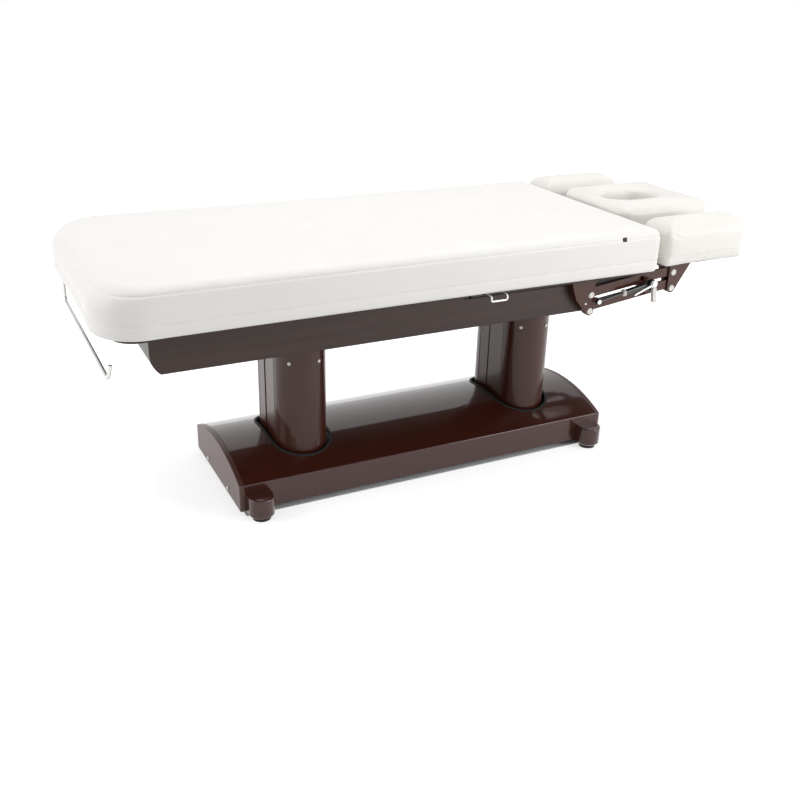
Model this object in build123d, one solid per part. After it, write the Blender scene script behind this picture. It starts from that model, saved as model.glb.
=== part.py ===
from build123d import *
import math
import os

# Spa bed with electric drive: an arched base, two telescopic columns, a deep beam, one thick mattress,
# a hinged backrest and a head section on a four-bar linkage with a lockable gas spring.
# Frame: X runs towards the head, Y away from the side with the gas spring, Z up. The origin is on the floor
# under the middle of the bed. Lengths are millimetres.

# Whole bed
bed_length = 1980.0
bed_width = 760.0
overrun = 6.0
running_fit = 0.05
glide_gap = 0.3
soft_gap = 0.6

# Base cover and its end panels
base_length = 1230.0
base_offset = -20.0
base_width = 434.0
base_lift = 18.0
base_side_height = 80.0
arch_rise = 48.0
cover_wall = 3.0
shoulder_round = 4.0
panel_thickness = 15.0
panel_gap = 0.8
panel_edge_round = 3.0
panel_screw_spread = 200.0
panel_screw_height = 36.0
panel_cap_radius = 7.0
panel_cap_height = 2.5
panel_shank_radius = 3.0
trim_lip = 4.0
trim_inside = 3.0
trim_proud = 2.0

# Frame inside the base
rail_width = 40.0
base_rail_height = 50.0
tube_wall = 3.0
floor_plate_lift = 6.0
floor_plate_thickness = 8.0
floor_plate_length = 200.0

# Feet
foot_inset = 55.0
foot_radius = 37.0
foot_reach = 21.0
foot_height = 72.0
foot_bevel = 9.0
foot_top_round = 5.0
pad_radius = 26.0
pad_height = 8.0

# Columns, from the outside in
column_spacing_share = 0.388
column_offset = -13.0
column_flat = 134.0
opening_radius = 90.0
sleeve_radius = 77.0
sleeve_wall = 3.5
sleeve_bottom = 118.0
stage_radius = 71.5
stage_wall = 3.0
stage_bottom = 70.0
stage_top = 440.0
core_radius = 66.5
core_wall = 3.5
core_top = 395.0
core_flange_width = 13.0
core_flange_thickness = 6.0
glide_height = 20.0
top_glide_height = 25.0
groove_depth = 2.0
channel_width = 34.0
channel_depth = 2.0
sleeve_screw_drop = 87.0
sleeve_screw_angles = (41.0, -26.0)
sleeve_cap_radius = 5.0
sleeve_cap_seat = 1.0
sleeve_cap_height = 2.3
sleeve_shank_radius = 2.0

# Lift actuators
gearbox_width = 76.0
gearbox_back = 30.0
gearbox_front = 95.0
gearbox_height = 60.0
motor_radius = 28.0
motor_height = 98.0
motor_place = 62.0
lift_tube_radius = 24.0
lift_tube_bore = 17.0
lift_tube_top = 380.0
gland_length = 20.0
lift_rod_radius = 11.0
lift_rod_bottom = 170.0

# Control box and mains inlet
control_box_length = 150.0
control_box_width = 190.0
control_box_height = 46.0
control_box_round = 5.0
inlet_x = -150.0
inlet_height = 82.0
inlet_radius = 8.0
inlet_flange_radius = 11.0
inlet_flange = 3.0
inlet_depth = 14.0
inlet_socket_radius = 5.0
inlet_socket_depth = 10.0

# Beam under the mattress
beam_bottom = 490.0
beam_tail_inset = 131.0
beam_head_spare = 10.0
beam_side_inset = 108.0
beam_floor = 12.0
beam_side = 14.0
beam_height = 114.0
beam_low_height = 88.0
beam_bow_height = 55.0
beam_bow_reach = 27.0
beam_inner_corner = 60.0
beam_edge = 4.0
rod_hole_gap = 3.0

# Main frame inside the beam
column_plate_thickness = 8.0
column_plate_length = 140.0
frame_side_inset = 184.0
frame_rail_height = 40.0
frame_tail_gap = 35.0
frame_head_gap = 2.0
cross_member_width = 30.0
cross_member_height = 58.0
cross_member_spacing = 100.0
bearer_height = 40.0
bearer_tail_inset = 59.0
bearer_before_column = 183.0
bearer_after_column = 137.0
bearer_before_hinge = 100.0

# Boards and mattress
board_thickness = 12.0
board_inset = 36.0
board_tail_inset = 42.0
board_corner = 60.0
board_small_corner = 8.0
head_section_length = 362.0
mattress_edge_height = 130.0
mattress_crown = 6.0
mattress_bottom_round = 12.0
mattress_top_round = 30.0
mattress_tail_round = 90.0
tail_level_shares = (0.25, 0.5)
tail_corner = 120.0
head_corner = 22.0
side_pull = 4.0
seam_depth = 2.0
seam_half_width = 3.5
lower_seam_height = 35.0
upper_seam_drop = 22.0
crown_reach = 200.0
crown_level_shares = (0.35, 1)
round_angles = (0, 30, 60, 90)
least_corner = 6.0
fold_reach = 130.0

# Backrest hinge
hinge_share = 0.01
hinge_drop = 14.0
knuckle_radius = 14.0
knuckle_thickness = 7.5
knuckle_length = 100.0
bracket_thickness = 8.0
plate_gap = 0.5
bracket_gap = 2.0
hinge_pin_radius = 6.0
hinge_pin_end = 2.0
backrest_gap = 22.0
seat_gap = 24.0

# Backrest frame
back_rail_width = 40.0
back_side_inset = 142.0
back_rail_height = 25.0
back_tube_width = 25.0
back_tube_wall = 2.0
back_tube_first = 42.5
back_tube_second = 272.5
back_side_plate = 6.0
back_side_gap = 4.0
back_side_drop = 25.0
back_side_end_drop = 8.0
back_rail_inset = 10.0
back_board_inset = 8.0

# Backrest actuator and horn
horn_depth = 56.0
horn_half_swing = 30.0
ram_rod_radius = 9.0
ram_eye_radius = 16.0
ram_eye_width = 22.0
ram_pin_radius = 8.0
ram_washer_radius = 12.0
ram_washer = 2.0
horn_thickness = 6.0
horn_gap = 1.0
horn_slot_gap = 1.4
horn_slot_spare = 2.5
horn_rim = 8.0
drive_tube_radius = 20.0
drive_tube_bore = 12.0
drive_tube_reach = 77.7
drive_foot_length = 22.0
drive_gearbox_length = 32.0
drive_motor_radius = 25.0
drive_motor_length = 120.0
drive_motor_place = 50.0
ram_end_gap = 28.0

# Head linkage
upper_pivot_inset = 186.0
upper_pivot_drop = 72.5
pivot_spacing = 50.5
link_length = 308.0
link_angle = 6.7
link_half_height = 14.5
link_end_radius = 12.0
link_end_run = 14.0
upper_link_offset = 5.0
lower_link_offset = 14.0
link_thickness = 8.0
mount_inner_thickness = 6.0
mount_outer_thickness = 5.0
link_pin_radius = 5.0
open_pivot_gap = 0.25
pin_cap_radius = 10.0
pin_cap_height = 3.5
pin_cap_round = 2.8
pin_head_radius = 8.0
pin_head_height = 2.5
link_tube_radius = 11.0
link_tube_bore = 8.0
upper_tube_place = 193.0
lower_tube_place = 235.0
mount_tail = 70.0
mount_head = 10.0
mount_spacer_drop = 24.0
mount_knee_back = 53.0
mount_knee_drop = 68.0
mount_tip_radius = 14.0
mount_top_drop = 2.0
small_bolt_radius = 3.5
small_bolt_height = 2.0

# Head carrier
carrier_plate_radius = 15.0
carrier_top_tail = 16.0
carrier_top_head = 72.0
carrier_inner_tail = 52.0
carrier_rail_width = 20.0
carrier_rail_gap = 6.0
carrier_tail_inset = 15.0
carrier_head_inset = 17.0
carrier_tube_inset = 2.0
carrier_flange = 6.0
head_board_thickness = 8.0
head_board_inset = 25.0
head_board_tail_inset = 29.0
head_board_lift = 4.0

# Pads of the head section
head_gap = 10.0
arm_pad_length = 304.0
arm_pad_share = 0.342
arm_pad_height = 132.0
arm_pad_crown = 4.0
arm_pad_top_round_share = 0.7
arm_pad_bottom_round = 8.0
arm_pad_corner = 14.0
arm_pad_pull = 2.0
arm_crown_reach_share = 0.15
arm_seam_height = 30.0
head_pad_side_gap = 80.0
head_pad_height = 134.0
head_pad_crown = 3.0
head_pad_top_round = 28.0
head_pad_corner = 34.0
head_pad_crown_reach = 10.0
face_hole_inset = 53.0
face_hole_length = 195.0
face_hole_width = 140.0
face_hole_corner = 62.0
face_hole_neck = 6.0
face_hole_flare = 14.0
face_hole_flare_depth = 34.0
face_hole_lip = 11.0
board_hole_gap = 2.0

# Gas spring and its release lever
spring_side_gap = 10.0
spring_foot_run = 21.0
spring_foot_drop = 20.0
spring_ear_radius = 10.0
spring_head_run = 215.7
spring_head_drop = 11.0
link_ear_radius = 9.0
spring_rod_radius = 4.0
spring_rod_length = 150.0
spring_eye_radius = 8.0
spring_eye_width = 9.0
foot_stud_radius = 4.0
stud_collar = 3.0
stud_end = 2.5
spring_cylinder_radius = 8.0
spring_cylinder_start = 100.0
spring_cylinder_end = 172.0
spring_bore_gap = 0.8
spring_bore_depth = 60.0
spring_cap_radius = 11.0
spring_cap_length = 12.0
spring_cap_round = 4.0
head_eye_radius = 13.0
head_eye_width = 8.0
spring_neck = 10.0
lever_gap = 1.0
lever_spacer = 4.0
lever_thickness = 5.0
lever_hub_radius = 12.0
lever_arm_radius = 4.0
lever_grip_radius = 7.0
lever_down = 52.0
lever_down_side = 8.0
lever_grip_start = 16.0
lever_back = 68.0
lever_back_drop = 25.0
lever_tip_radius = 3.0
grip_thickness = 10.0

# Rod for a paper roll, and the wire loop
bar_radius = 5.0
bar_socket_inset = 100.0
bar_socket_length = 45.0
bar_side_inset = 48.0
bar_drop_inset = 25.0
bar_low_z = 512.0
bar_end_inset = 80.0
bar_tip_height = 35.0
bar_tip_lean = 8.0
bar_bend = 14.0
socket_width = 22.0
socket_height = 18.0
clamp_radius = 3.0
clamp_head_radius = 6.0
clamp_head_height = 6.0
loop_place = 51.0
loop_width = 50.0
loop_radius = 3.0
loop_drop = 13.0
loop_bend = 5.0
loop_root = 12.0
loop_reach = 31.0

# Places worked out from the sizes above
tail_x = -bed_length / 2
head_x = bed_length / 2
side_y = bed_width / 2
column_spacing = bed_length * column_spacing_share
column_places = (column_offset - column_spacing / 2, column_offset + column_spacing / 2)
base_columns = tuple(x - base_offset for x in column_places)
column_names = ("tail", "head")
hinge_x = bed_length * hinge_share
fold = (hinge_x - fold_reach, hinge_x + fold_reach)
foot_place = base_length / 2 - foot_inset
beam_tail = tail_x + beam_tail_inset
beam_head = column_places[1] + sleeve_radius + beam_head_spare
beam_width = bed_width - 2 * beam_side_inset
frame_inner = bed_width - 2 * frame_side_inset
back_rail_inner = bed_width - 2 * back_side_inset
arch_radius = ((base_width / 2) ** 2 + arch_rise ** 2) / (2 * arch_rise)
arch_top = base_lift + base_side_height + arch_rise
arch_centre = arch_top - arch_radius
frame_end = base_length / 2 - panel_thickness
base_rail_outer = base_width / 2 - cover_wall
base_rail_inner = base_rail_outer - rail_width
core_foot = base_lift + floor_plate_lift + floor_plate_thickness
plate_bottom = beam_bottom + beam_floor
plate_top = plate_bottom + column_plate_thickness
rail_top = plate_top + cross_member_height
deck = rail_top + bearer_height
mattress_bottom = deck + board_thickness
beam_inner = beam_width / 2 - beam_side
hinge_z = deck - hinge_drop
frame_rail_outer = frame_inner / 2 + rail_width
back_rail_outer = back_rail_inner / 2 + back_rail_width
mattress_head = head_x - head_section_length
back_frame_end = mattress_head - back_rail_inset
back_frame_start = hinge_x + backrest_gap - bracket_gap
back_tube_last = back_frame_end - back_tube_width / 2
back_tube_places = (hinge_x + back_tube_first, hinge_x + back_tube_second, back_tube_last)
bearer_places = (beam_tail + bearer_tail_inset, column_places[0] - bearer_before_column,
                 column_places[0] + bearer_after_column, hinge_x - bearer_before_hinge)
drive_z = hinge_z - horn_depth
ram_pin_x = hinge_x - horn_depth * math.tan(math.radians(horn_half_swing))
upper_pivot = (mattress_head - upper_pivot_inset, mattress_bottom - upper_pivot_drop)
lower_pivot = (upper_pivot[0], upper_pivot[1] - pivot_spacing)
link_run = link_length * math.cos(math.radians(link_angle))
link_climb = link_length * math.sin(math.radians(link_angle))
carrier_upper = (upper_pivot[0] + link_run, upper_pivot[1] + link_climb)
carrier_lower = (lower_pivot[0] + link_run, lower_pivot[1] + link_climb)
mount_inner = back_rail_outer
link_inner = mount_inner + mount_inner_thickness + plate_gap
link_outer = link_inner + link_thickness
mount_outer = link_outer + plate_gap
mount_face = mount_outer + mount_outer_thickness
spring_plane = mount_face + spring_side_gap
head_board_bottom = mattress_bottom + head_board_lift
pad_bottom = head_board_bottom + head_board_thickness
pad_start = mattress_head + head_gap
arm_pad_inner = side_y * (1 - arm_pad_share)
arm_pad_half = (side_y - arm_pad_inner) / 2
head_pad_half = arm_pad_inner - head_pad_side_gap
face_hole_start = pad_start + face_hole_inset
carrier_rail_outer = mount_inner - carrier_rail_gap
carrier_rail_inner = 2 * (carrier_rail_outer - carrier_rail_width)
carrier_rail_tail = pad_start + carrier_tail_inset
head_board_tail = pad_start + head_board_tail_inset
carrier_rail_head = pad_start + arm_pad_length - carrier_head_inset
spring_foot = (upper_pivot[0] + spring_foot_run, upper_pivot[1] - spring_foot_drop)
bar_socket_x = tail_x + bar_socket_inset
bar_drop_x = tail_x + bar_drop_inset
bar_y = side_y - bar_side_inset
bar_end_y = bar_end_inset - side_y
loop_x = hinge_x + loop_place
at_base = (Align.CENTER, Align.CENTER, Align.MIN)


# Shapes that several pieces share

def block(x, y, z):
    """Box between two values on each axis."""
    middle = Pos((x[0] + x[1]) / 2, (y[0] + y[1]) / 2, (z[0] + z[1]) / 2)
    return middle * Box(x[1] - x[0], y[1] - y[0], z[1] - z[0])


def box_tube(x, y, z, wall, along):
    """Rectangular tube, open at both ends along the named axis."""
    spans = {"x": x, "y": y, "z": z}
    inside = {}
    for axis, (low, high) in spans.items():
        grow = overrun if axis == along else -wall
        inside[axis] = (low - grow, high + grow)
    return block(x, y, z) - block(inside["x"], inside["y"], inside["z"])


def rod(start, end, radius):
    """Round bar between two points."""
    run = Vector(*end) - Vector(*start)
    return Plane(origin=start, z_dir=run) * Cylinder(radius, run.length, align=at_base)


def cross_rod(place, y, radius):
    """Round bar across the bed at an (x, z) place."""
    return rod((place[0], y[0], place[1]), (place[0], y[1], place[1]), radius)


def side_plate(face, y):
    """Plate across the Y span given, from an outline drawn in X and Z."""
    return extrude(Plane.XZ.offset(-y[1]) * face, y[1] - y[0])


def along_x(face, x):
    """Prism along the bed, from an outline drawn in Y and Z."""
    return extrude(Plane.YZ.offset(x[0]) * face, x[1] - x[0])


def upright(face, z):
    """Prism standing on an outline drawn in plan."""
    return Pos(0, 0, z[0]) * extrude(face, z[1] - z[0])


def both_sides(shape):
    """A piece together with its mirror image on the other side of the bed."""
    return shape + mirror(shape, about=Plane.XZ)


def capsule(start, end, radius):
    """Flat outline with round ends about two points."""
    run = (end[0] - start[0], end[1] - start[1])
    turn = math.degrees(math.atan2(run[1], run[0]))
    middle = Pos((start[0] + end[0]) / 2, (start[1] + end[1]) / 2)
    return middle * Rot(0, 0, turn) * SlotCenterToCenter(math.hypot(*run), 2 * radius)


def disc(place, radius):
    """Flat round outline about a point."""
    return Pos(*place) * Circle(radius)


def stadium(radius):
    """Section of a column in plan."""
    return SlotCenterToCenter(column_flat, 2 * radius, rotation=90)


def column_tube(x, outer, inner, z):
    """Upright tube of a column's section."""
    return Pos(x, 0, 0) * upright(stadium(outer) - stadium(inner), z)


# Base, drawn about its own middle

def on_base(shape):
    """Puts a piece of the base, drawn about the base's middle, in its place under the bed."""
    return Pos(base_offset, 0, 0) * shape


def arch_face(inset, bottom, rounding):
    """Cross section of the base, drawn in from its outside by the inset."""
    half = base_width / 2 - inset
    radius = arch_radius - inset
    shoulder = arch_centre + math.sqrt(radius ** 2 - half ** 2)
    sides = Polyline((half, shoulder), (half, bottom), (-half, bottom), (-half, shoulder))
    top = ThreePointArc((-half, shoulder), (0, arch_centre + radius), (half, shoulder))
    face = make_face(sides + top)
    if rounding:
        face = fillet(face.vertices().sort_by(Axis.Y)[-2:], rounding)
    return face


def base_cover():
    """Arched shell, open below and at both ends, with an opening for each column."""
    half = frame_end - panel_gap
    shell = along_x(arch_face(0, base_lift, shoulder_round), (-half, half))
    shell -= along_x(arch_face(cover_wall, base_lift - overrun, 0), (-half - overrun, half + overrun))
    for x in base_columns:
        shell -= Pos(x, 0, 0) * upright(stadium(opening_radius), (core_foot, arch_top + overrun))
    shell -= rod((inlet_x, 0, inlet_height), (inlet_x, base_width, inlet_height), inlet_radius)
    return shell


def panel_screw_places():
    """The two screws of an end panel, as (y, z)."""
    return [(side * panel_screw_spread / 2, panel_screw_height) for side in (-1, 1)]


def base_panel(end):
    """Flat panel that closes one end of the base, with holes for its screws."""
    panel = along_x(arch_face(0, base_lift, shoulder_round), (frame_end, base_length / 2))
    panel = fillet(panel.faces().sort_by(Axis.X)[-1].edges(), panel_edge_round)
    for y, z in panel_screw_places():
        panel -= rod((0, y, z), (base_length, y, z), panel_shank_radius)
    return panel if end > 0 else mirror(panel, about=Plane.YZ)


def panel_screws():
    """Capped screws that hold the two end panels."""
    screws = Part()
    for y, z in panel_screw_places():
        face = base_length / 2
        shank = rod((frame_end, y, z), (face, y, z), panel_shank_radius)
        cap = rod((face, y, z), (face + panel_cap_height, y, z), panel_cap_radius)
        screws += shank + chamfer(cap.faces().sort_by(Axis.X)[-1].edges(), panel_cap_height / 2)
    return screws + mirror(screws, about=Plane.YZ)


def opening_trims():
    """Rubber edging of U section round each column opening."""
    half = base_length / 2
    band = along_x(arch_face(-trim_proud, base_lift, 0), (-half, half))
    band -= along_x(arch_face(cover_wall + trim_proud, 0, 0), (-half - overrun, half + overrun))
    trims = Part()
    for x in base_columns:
        span = (core_foot, arch_top + overrun)
        trims += column_tube(x, opening_radius + trim_lip, opening_radius - trim_inside, span) & band
    return trims - base_cover()


def base_frame():
    """Welded frame: two long tubes, two end tubes and three floor plates."""
    height = (base_lift, base_lift + base_rail_height)
    side = (base_rail_inner, base_rail_outer)
    frame = both_sides(box_tube((-frame_end, frame_end), side, height, tube_wall, "x"))
    for end in (-1, 1):
        ends = sorted((end * frame_end, end * (frame_end - rail_width)))
        frame += box_tube(ends, (-base_rail_inner, base_rail_inner), height, tube_wall, "y")
    for x in (*base_columns, 0):
        span = (x - floor_plate_length / 2, x + floor_plate_length / 2)
        floor = (core_foot - floor_plate_thickness, core_foot)
        frame += block(span, (-base_rail_inner, base_rail_inner), floor)
    return frame


def foot(end, side):
    """Rounded block on the long side of the base, bevelled at the bottom."""
    plan = Pos(0, foot_reach) * Circle(foot_radius)
    plan += Pos(0, foot_reach / 2) * Rectangle(2 * foot_radius, foot_reach)
    reach = foot_reach + foot_radius
    plan = plan & (Pos(0, reach / 2) * Rectangle(2 * reach, reach))
    body = upright(plan, (pad_height, foot_height))
    top = body.faces().sort_by(Axis.Z)[-1].edges().sort_by(Axis.Y)[1:]
    body = fillet(top, foot_top_round)
    bottom = body.faces().sort_by(Axis.Z)[0].edges().sort_by(Axis.Y)[1:]
    body = chamfer(bottom, foot_bevel)
    turn = 0 if side > 0 else 180
    return Pos(end * foot_place, side * base_width / 2, 0) * Rot(0, 0, turn) * body


def foot_pads():
    """Round rubber pads that the feet stand on."""
    pads = Part()
    for end in (-1, 1):
        for side in (-1, 1):
            place = Pos(end * foot_place, side * (base_width / 2 + foot_reach), 0)
            pads += place * Cylinder(pad_radius, pad_height, align=at_base)
    return pads


def control_box():
    """Closed plastic housing on the middle floor plate."""
    half = (control_box_length / 2, control_box_width / 2)
    box = block((-half[0], half[0]), (-half[1], half[1]), (core_foot, core_foot + control_box_height))
    return fillet(box.edges().filter_by(Axis.Z), control_box_round)


def mains_inlet():
    """Socket for the supply in the far side of the cover."""
    face = base_width / 2
    body = rod((inlet_x, face - inlet_depth, inlet_height), (inlet_x, face, inlet_height), inlet_radius)
    flange_end = (inlet_x, face + inlet_flange, inlet_height)
    flange = rod((inlet_x, face, inlet_height), flange_end, inlet_flange_radius)
    mouth = face + inlet_flange
    floor = mouth - inlet_socket_depth
    socket = rod((inlet_x, floor, inlet_height), (inlet_x, mouth, inlet_height), inlet_socket_radius)
    return body + flange - socket


# Columns

def fixed_column(x):
    """Innermost tube of a column, with a flange inside its foot."""
    tube = column_tube(x, core_radius, core_radius - core_wall, (core_foot, core_top))
    flange_outer = core_radius - core_wall
    span = (core_foot, core_foot + core_flange_thickness)
    return tube + column_tube(x, flange_outer, flange_outer - core_flange_width, span)


def fixed_glides():
    """Plastic bands round the tops of the fixed tubes."""
    bore = stage_radius - stage_wall
    span = (core_top - glide_height, core_top)
    return sum_of(column_tube(x, bore - glide_gap, core_radius, span) for x in column_places)


def sum_of(pieces):
    """Several separate solids as one piece."""
    total = Part()
    for piece in pieces:
        total += piece
    return total


def lift_actuator(x):
    """Gearbox, motor and tube of one lift drive, inside the fixed tube."""
    top = core_foot + gearbox_height
    box = block((-gearbox_width / 2, gearbox_width / 2), (-gearbox_back, gearbox_front), (core_foot, top))
    motor = Pos(0, motor_place, top) * Cylinder(motor_radius, motor_height, align=at_base)
    tube = Pos(0, 0, top) * Cylinder(lift_tube_radius, lift_tube_top - top, align=at_base)
    bore_span = lift_tube_top - gland_length - top
    bore = Pos(0, 0, top) * Cylinder(lift_tube_bore, bore_span, align=at_base)
    gland = Pos(0, 0, top) * Cylinder(lift_rod_radius + running_fit, lift_tube_top, align=at_base)
    return Pos(x, 0, 0) * (box + motor + tube - bore - gland)


def lift_rods():
    """Rods of the lift drives, up to the plates of the main frame."""
    height = plate_bottom - lift_rod_bottom
    rods = [Pos(x, 0, lift_rod_bottom) * Cylinder(lift_rod_radius, height, align=at_base)
            for x in column_places]
    return sum_of(rods)


def column_stages():
    """Middle tubes of the columns."""
    span = (stage_bottom, stage_top)
    return sum_of(column_tube(x, stage_radius, stage_radius - stage_wall, span) for x in column_places)


def stage_glides():
    """Plastic bands of the middle tubes: outside at the top, inside at the bottom."""
    sleeve_bore = sleeve_radius - sleeve_wall
    high = (stage_top - top_glide_height, stage_top)
    low = (stage_bottom, stage_bottom + glide_height)
    bands = []
    for x in column_places:
        bands.append(column_tube(x, sleeve_bore - glide_gap, stage_radius, high))
        bands.append(column_tube(x, stage_radius - stage_wall, core_radius + glide_gap, low))
    return sum_of(bands)


def sleeve_screw(angle, side):
    """Capped screw at the rounded side of a sleeve, where the angle is taken from straight across the bed."""
    seat = sleeve_radius - sleeve_cap_seat
    inner = sleeve_radius - sleeve_wall
    shank = Pos(0, 0, inner) * Cylinder(sleeve_shank_radius, seat - inner, align=at_base)
    cap = Pos(0, 0, seat) * Cylinder(sleeve_cap_radius, sleeve_cap_seat + sleeve_cap_height, align=at_base)
    outward = Vector(-math.sin(math.radians(angle)), side * math.cos(math.radians(angle)), 0)
    centre = (0, side * column_flat / 2, beam_bottom - sleeve_screw_drop)
    return Plane(origin=centre, z_dir=outward) * (shank + cap)


def sleeve_screws():
    """All screws near the tops of the sleeves."""
    screws = []
    for x in column_places:
        for side in (-1, 1):
            screws += [Pos(x, 0, 0) * sleeve_screw(angle, side) for angle in sleeve_screw_angles]
    return sum_of(screws)


def column_sleeve(x):
    """Outer tube of a column, with upright grooves beside its flat faces and a shallow channel in each."""
    span = (sleeve_bottom, beam_bottom)
    sleeve = column_tube(0, sleeve_radius, sleeve_radius - sleeve_wall, span)
    groove = Pos(0, 0, sleeve_bottom) * Rot(0, 0, 45) * Box(
        groove_depth * math.sqrt(2), groove_depth * math.sqrt(2), 2 * beam_bottom)
    reach = channel_width / 2
    for face in (-1, 1):
        for side in (-1, 1):
            sleeve -= Pos(face * sleeve_radius, side * column_flat / 2, 0) * groove
        depth = sorted((face * (sleeve_radius - channel_depth), face * (sleeve_radius + overrun)))
        sleeve -= block(depth, (-reach, reach), (0, 2 * beam_bottom))
    sleeve = Pos(x, 0, 0) * sleeve
    return sleeve - sleeve_screws()


def sleeve_glides():
    """Plastic bands inside the lower ends of the sleeves."""
    span = (sleeve_bottom, sleeve_bottom + glide_height)
    bore = sleeve_radius - sleeve_wall
    return sum_of(column_tube(x, bore, stage_radius + glide_gap, span) for x in column_places)


# Beam and main frame

def beam():
    """Deep trough under the mattress, bowed in below at the tail end and lower under the backrest."""
    top = beam_bottom + beam_height
    low_top = beam_bottom + beam_low_height
    bow_top = (beam_tail, beam_bottom + beam_bow_height)
    bow_end = (beam_tail + beam_bow_reach, beam_bottom)
    outline = Polyline(bow_end, (beam_head, beam_bottom), (beam_head, low_top), (hinge_x, low_top),
                       (hinge_x, top), (beam_tail, top), bow_top)
    outline += TangentArc(bow_top, bow_end, tangent=(0, -1))
    trough = side_plate(make_face(outline), (-beam_width / 2, beam_width / 2))
    trough = fillet(trough.edges().filter_by(Axis.X).group_by(Axis.Z)[0], beam_edge)
    floor = plate_bottom
    ends = (beam_tail + beam_side, beam_head - beam_side)
    inside = Polyline((ends[0], floor), (ends[1], floor), (ends[1], top + overrun), (ends[0], top + overrun),
                      close=True)
    hollow = make_face(inside)
    hollow = fillet(hollow.vertices().group_by(Axis.Y)[0].sort_by(Axis.X)[0], beam_inner_corner)
    trough -= side_plate(hollow, (-beam_inner, beam_inner))
    for x in column_places:
        trough -= rod((x, 0, 0), (x, 0, plate_top), lift_rod_radius + rod_hole_gap)
    return trough


def main_frame():
    """Welded frame in the beam: column plates, cross members, long tubes and the hinge brackets."""
    half = frame_inner / 2
    rail_span = (beam_tail + frame_tail_gap, beam_head - beam_side - frame_head_gap)
    rail_height = (rail_top - frame_rail_height, rail_top)
    rails = box_tube(rail_span, (half, frame_rail_outer), rail_height, tube_wall, "x")
    bracket_face = capsule((hinge_x, hinge_z), (hinge_x, rail_top - overrun), knuckle_radius)
    bracket_y = (back_rail_inner / 2 - knuckle_thickness - plate_gap - bracket_thickness,
                 back_rail_inner / 2 - knuckle_thickness - plate_gap)
    bracket = side_plate(bracket_face, bracket_y)
    bracket -= block((0, bed_length), (0, bed_width), (0, rail_top))
    bracket -= cross_rod((hinge_x, hinge_z), (0, bed_width), hinge_pin_radius)
    frame = both_sides(rails + bracket)
    for x in column_places:
        span = (x - column_plate_length / 2, x + column_plate_length / 2)
        frame += block(span, (-half, half), (plate_bottom, plate_top))
        for side in (-1, 1):
            middle = x + side * cross_member_spacing / 2
            width = (middle - cross_member_width / 2, middle + cross_member_width / 2)
            frame += box_tube(width, (-half, half), (plate_top, rail_top), tube_wall, "y")
    return frame


def bearers():
    """Bars across the long tubes that carry the seat board."""
    half = cross_member_width / 2
    bars = []
    for x in bearer_places:
        span = (x - half, x + half)
        bars.append(box_tube(span, (-beam_inner, beam_inner), (rail_top, deck), tube_wall, "y"))
    return sum_of(bars)


def hinge_pins():
    """Pins of the backrest hinge, fixed in the brackets of the main frame."""
    knuckle_outer = back_rail_inner / 2
    bracket_inner = knuckle_outer - knuckle_thickness - plate_gap - bracket_thickness
    pin_width = (bracket_inner - hinge_pin_end, knuckle_outer + hinge_pin_end)
    return both_sides(cross_rod((hinge_x, hinge_z), pin_width, hinge_pin_radius))


def drive_back():
    """X of the face of the cross member that the backrest drive is fixed to."""
    return column_places[0] + cross_member_spacing / 2 + cross_member_width / 2


def drive_front():
    """X of the mouth of the backrest drive's tube."""
    return ram_pin_x - drive_tube_reach


def backrest_actuator():
    """Foot, gearbox, motor and tube of the backrest drive."""
    foot_x = drive_back()
    tube_x = foot_x + drive_foot_length
    front = drive_front()
    radius = drive_tube_radius
    height = (drive_z - radius, drive_z + radius)
    foot_block = block((foot_x, tube_x), (-radius, radius), height)
    tube = rod((tube_x, 0, drive_z), (front, 0, drive_z), radius)
    box_x = (tube_x, tube_x + drive_gearbox_length)
    box = block(box_x, (-radius, drive_motor_place + drive_motor_radius), height)
    motor_end = box_x[1] + drive_motor_length
    motor = rod((box_x[1], drive_motor_place, drive_z), (motor_end, drive_motor_place, drive_z),
                drive_motor_radius)
    bore = rod((box_x[1], 0, drive_z), (front - gland_length, 0, drive_z), drive_tube_bore)
    gland = rod((box_x[1], 0, drive_z), (front + overrun, 0, drive_z), ram_rod_radius + running_fit)
    return foot_block + tube + box + motor - bore - gland


def backrest_ram():
    """Rod of the backrest drive with an eye at its end."""
    start = drive_back() + drive_foot_length + drive_gearbox_length + ram_end_gap
    bar = rod((start, 0, drive_z), (ram_pin_x, 0, drive_z), ram_rod_radius)
    place = (ram_pin_x, drive_z)
    eye = cross_rod(place, (-ram_eye_width / 2, ram_eye_width / 2), ram_eye_radius)
    return bar + eye - cross_rod(place, (-bed_width, bed_width), ram_pin_radius)


def ram_pin():
    """Pin of the ram, with a washer at each end."""
    place = (ram_pin_x, drive_z)
    reach = ram_eye_width / 2 + horn_gap + horn_thickness + glide_gap
    washer = cross_rod(place, (reach, reach + ram_washer), ram_washer_radius)
    pin = cross_rod(place, (-reach - ram_washer, reach + ram_washer), ram_pin_radius)
    return pin + both_sides(washer)


# Boards and mattress

def plan_face(x, half_widths, radii, pull):
    """Outline in plan with rounded corners, its sides drawn in at their middles."""
    tail, head = radii
    corners = [(x[0] + tail, -half_widths[0] + tail, tail, 180), (x[1] - head, -half_widths[1] + head, head, 270),
               (x[1] - head, half_widths[1] - head, head, 0), (x[0] + tail, half_widths[0] - tail, tail, 90)]
    arcs = [CenterArc((cx, cy), radius, start, 90) for cx, cy, radius, start in corners]
    outline = Curve()
    inward = [(0, pull), (-pull, 0), (0, -pull), (pull, 0)]
    for index, arc in enumerate(arcs):
        following = arcs[(index + 1) % len(arcs)]
        start, end = arc @ 1, following @ 0
        middle = (start + end) / 2 + Vector(*inward[index])
        outline += arc
        outline += ThreePointArc(start, middle, end) if pull else Line(start, end)
    return make_face(outline)


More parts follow.
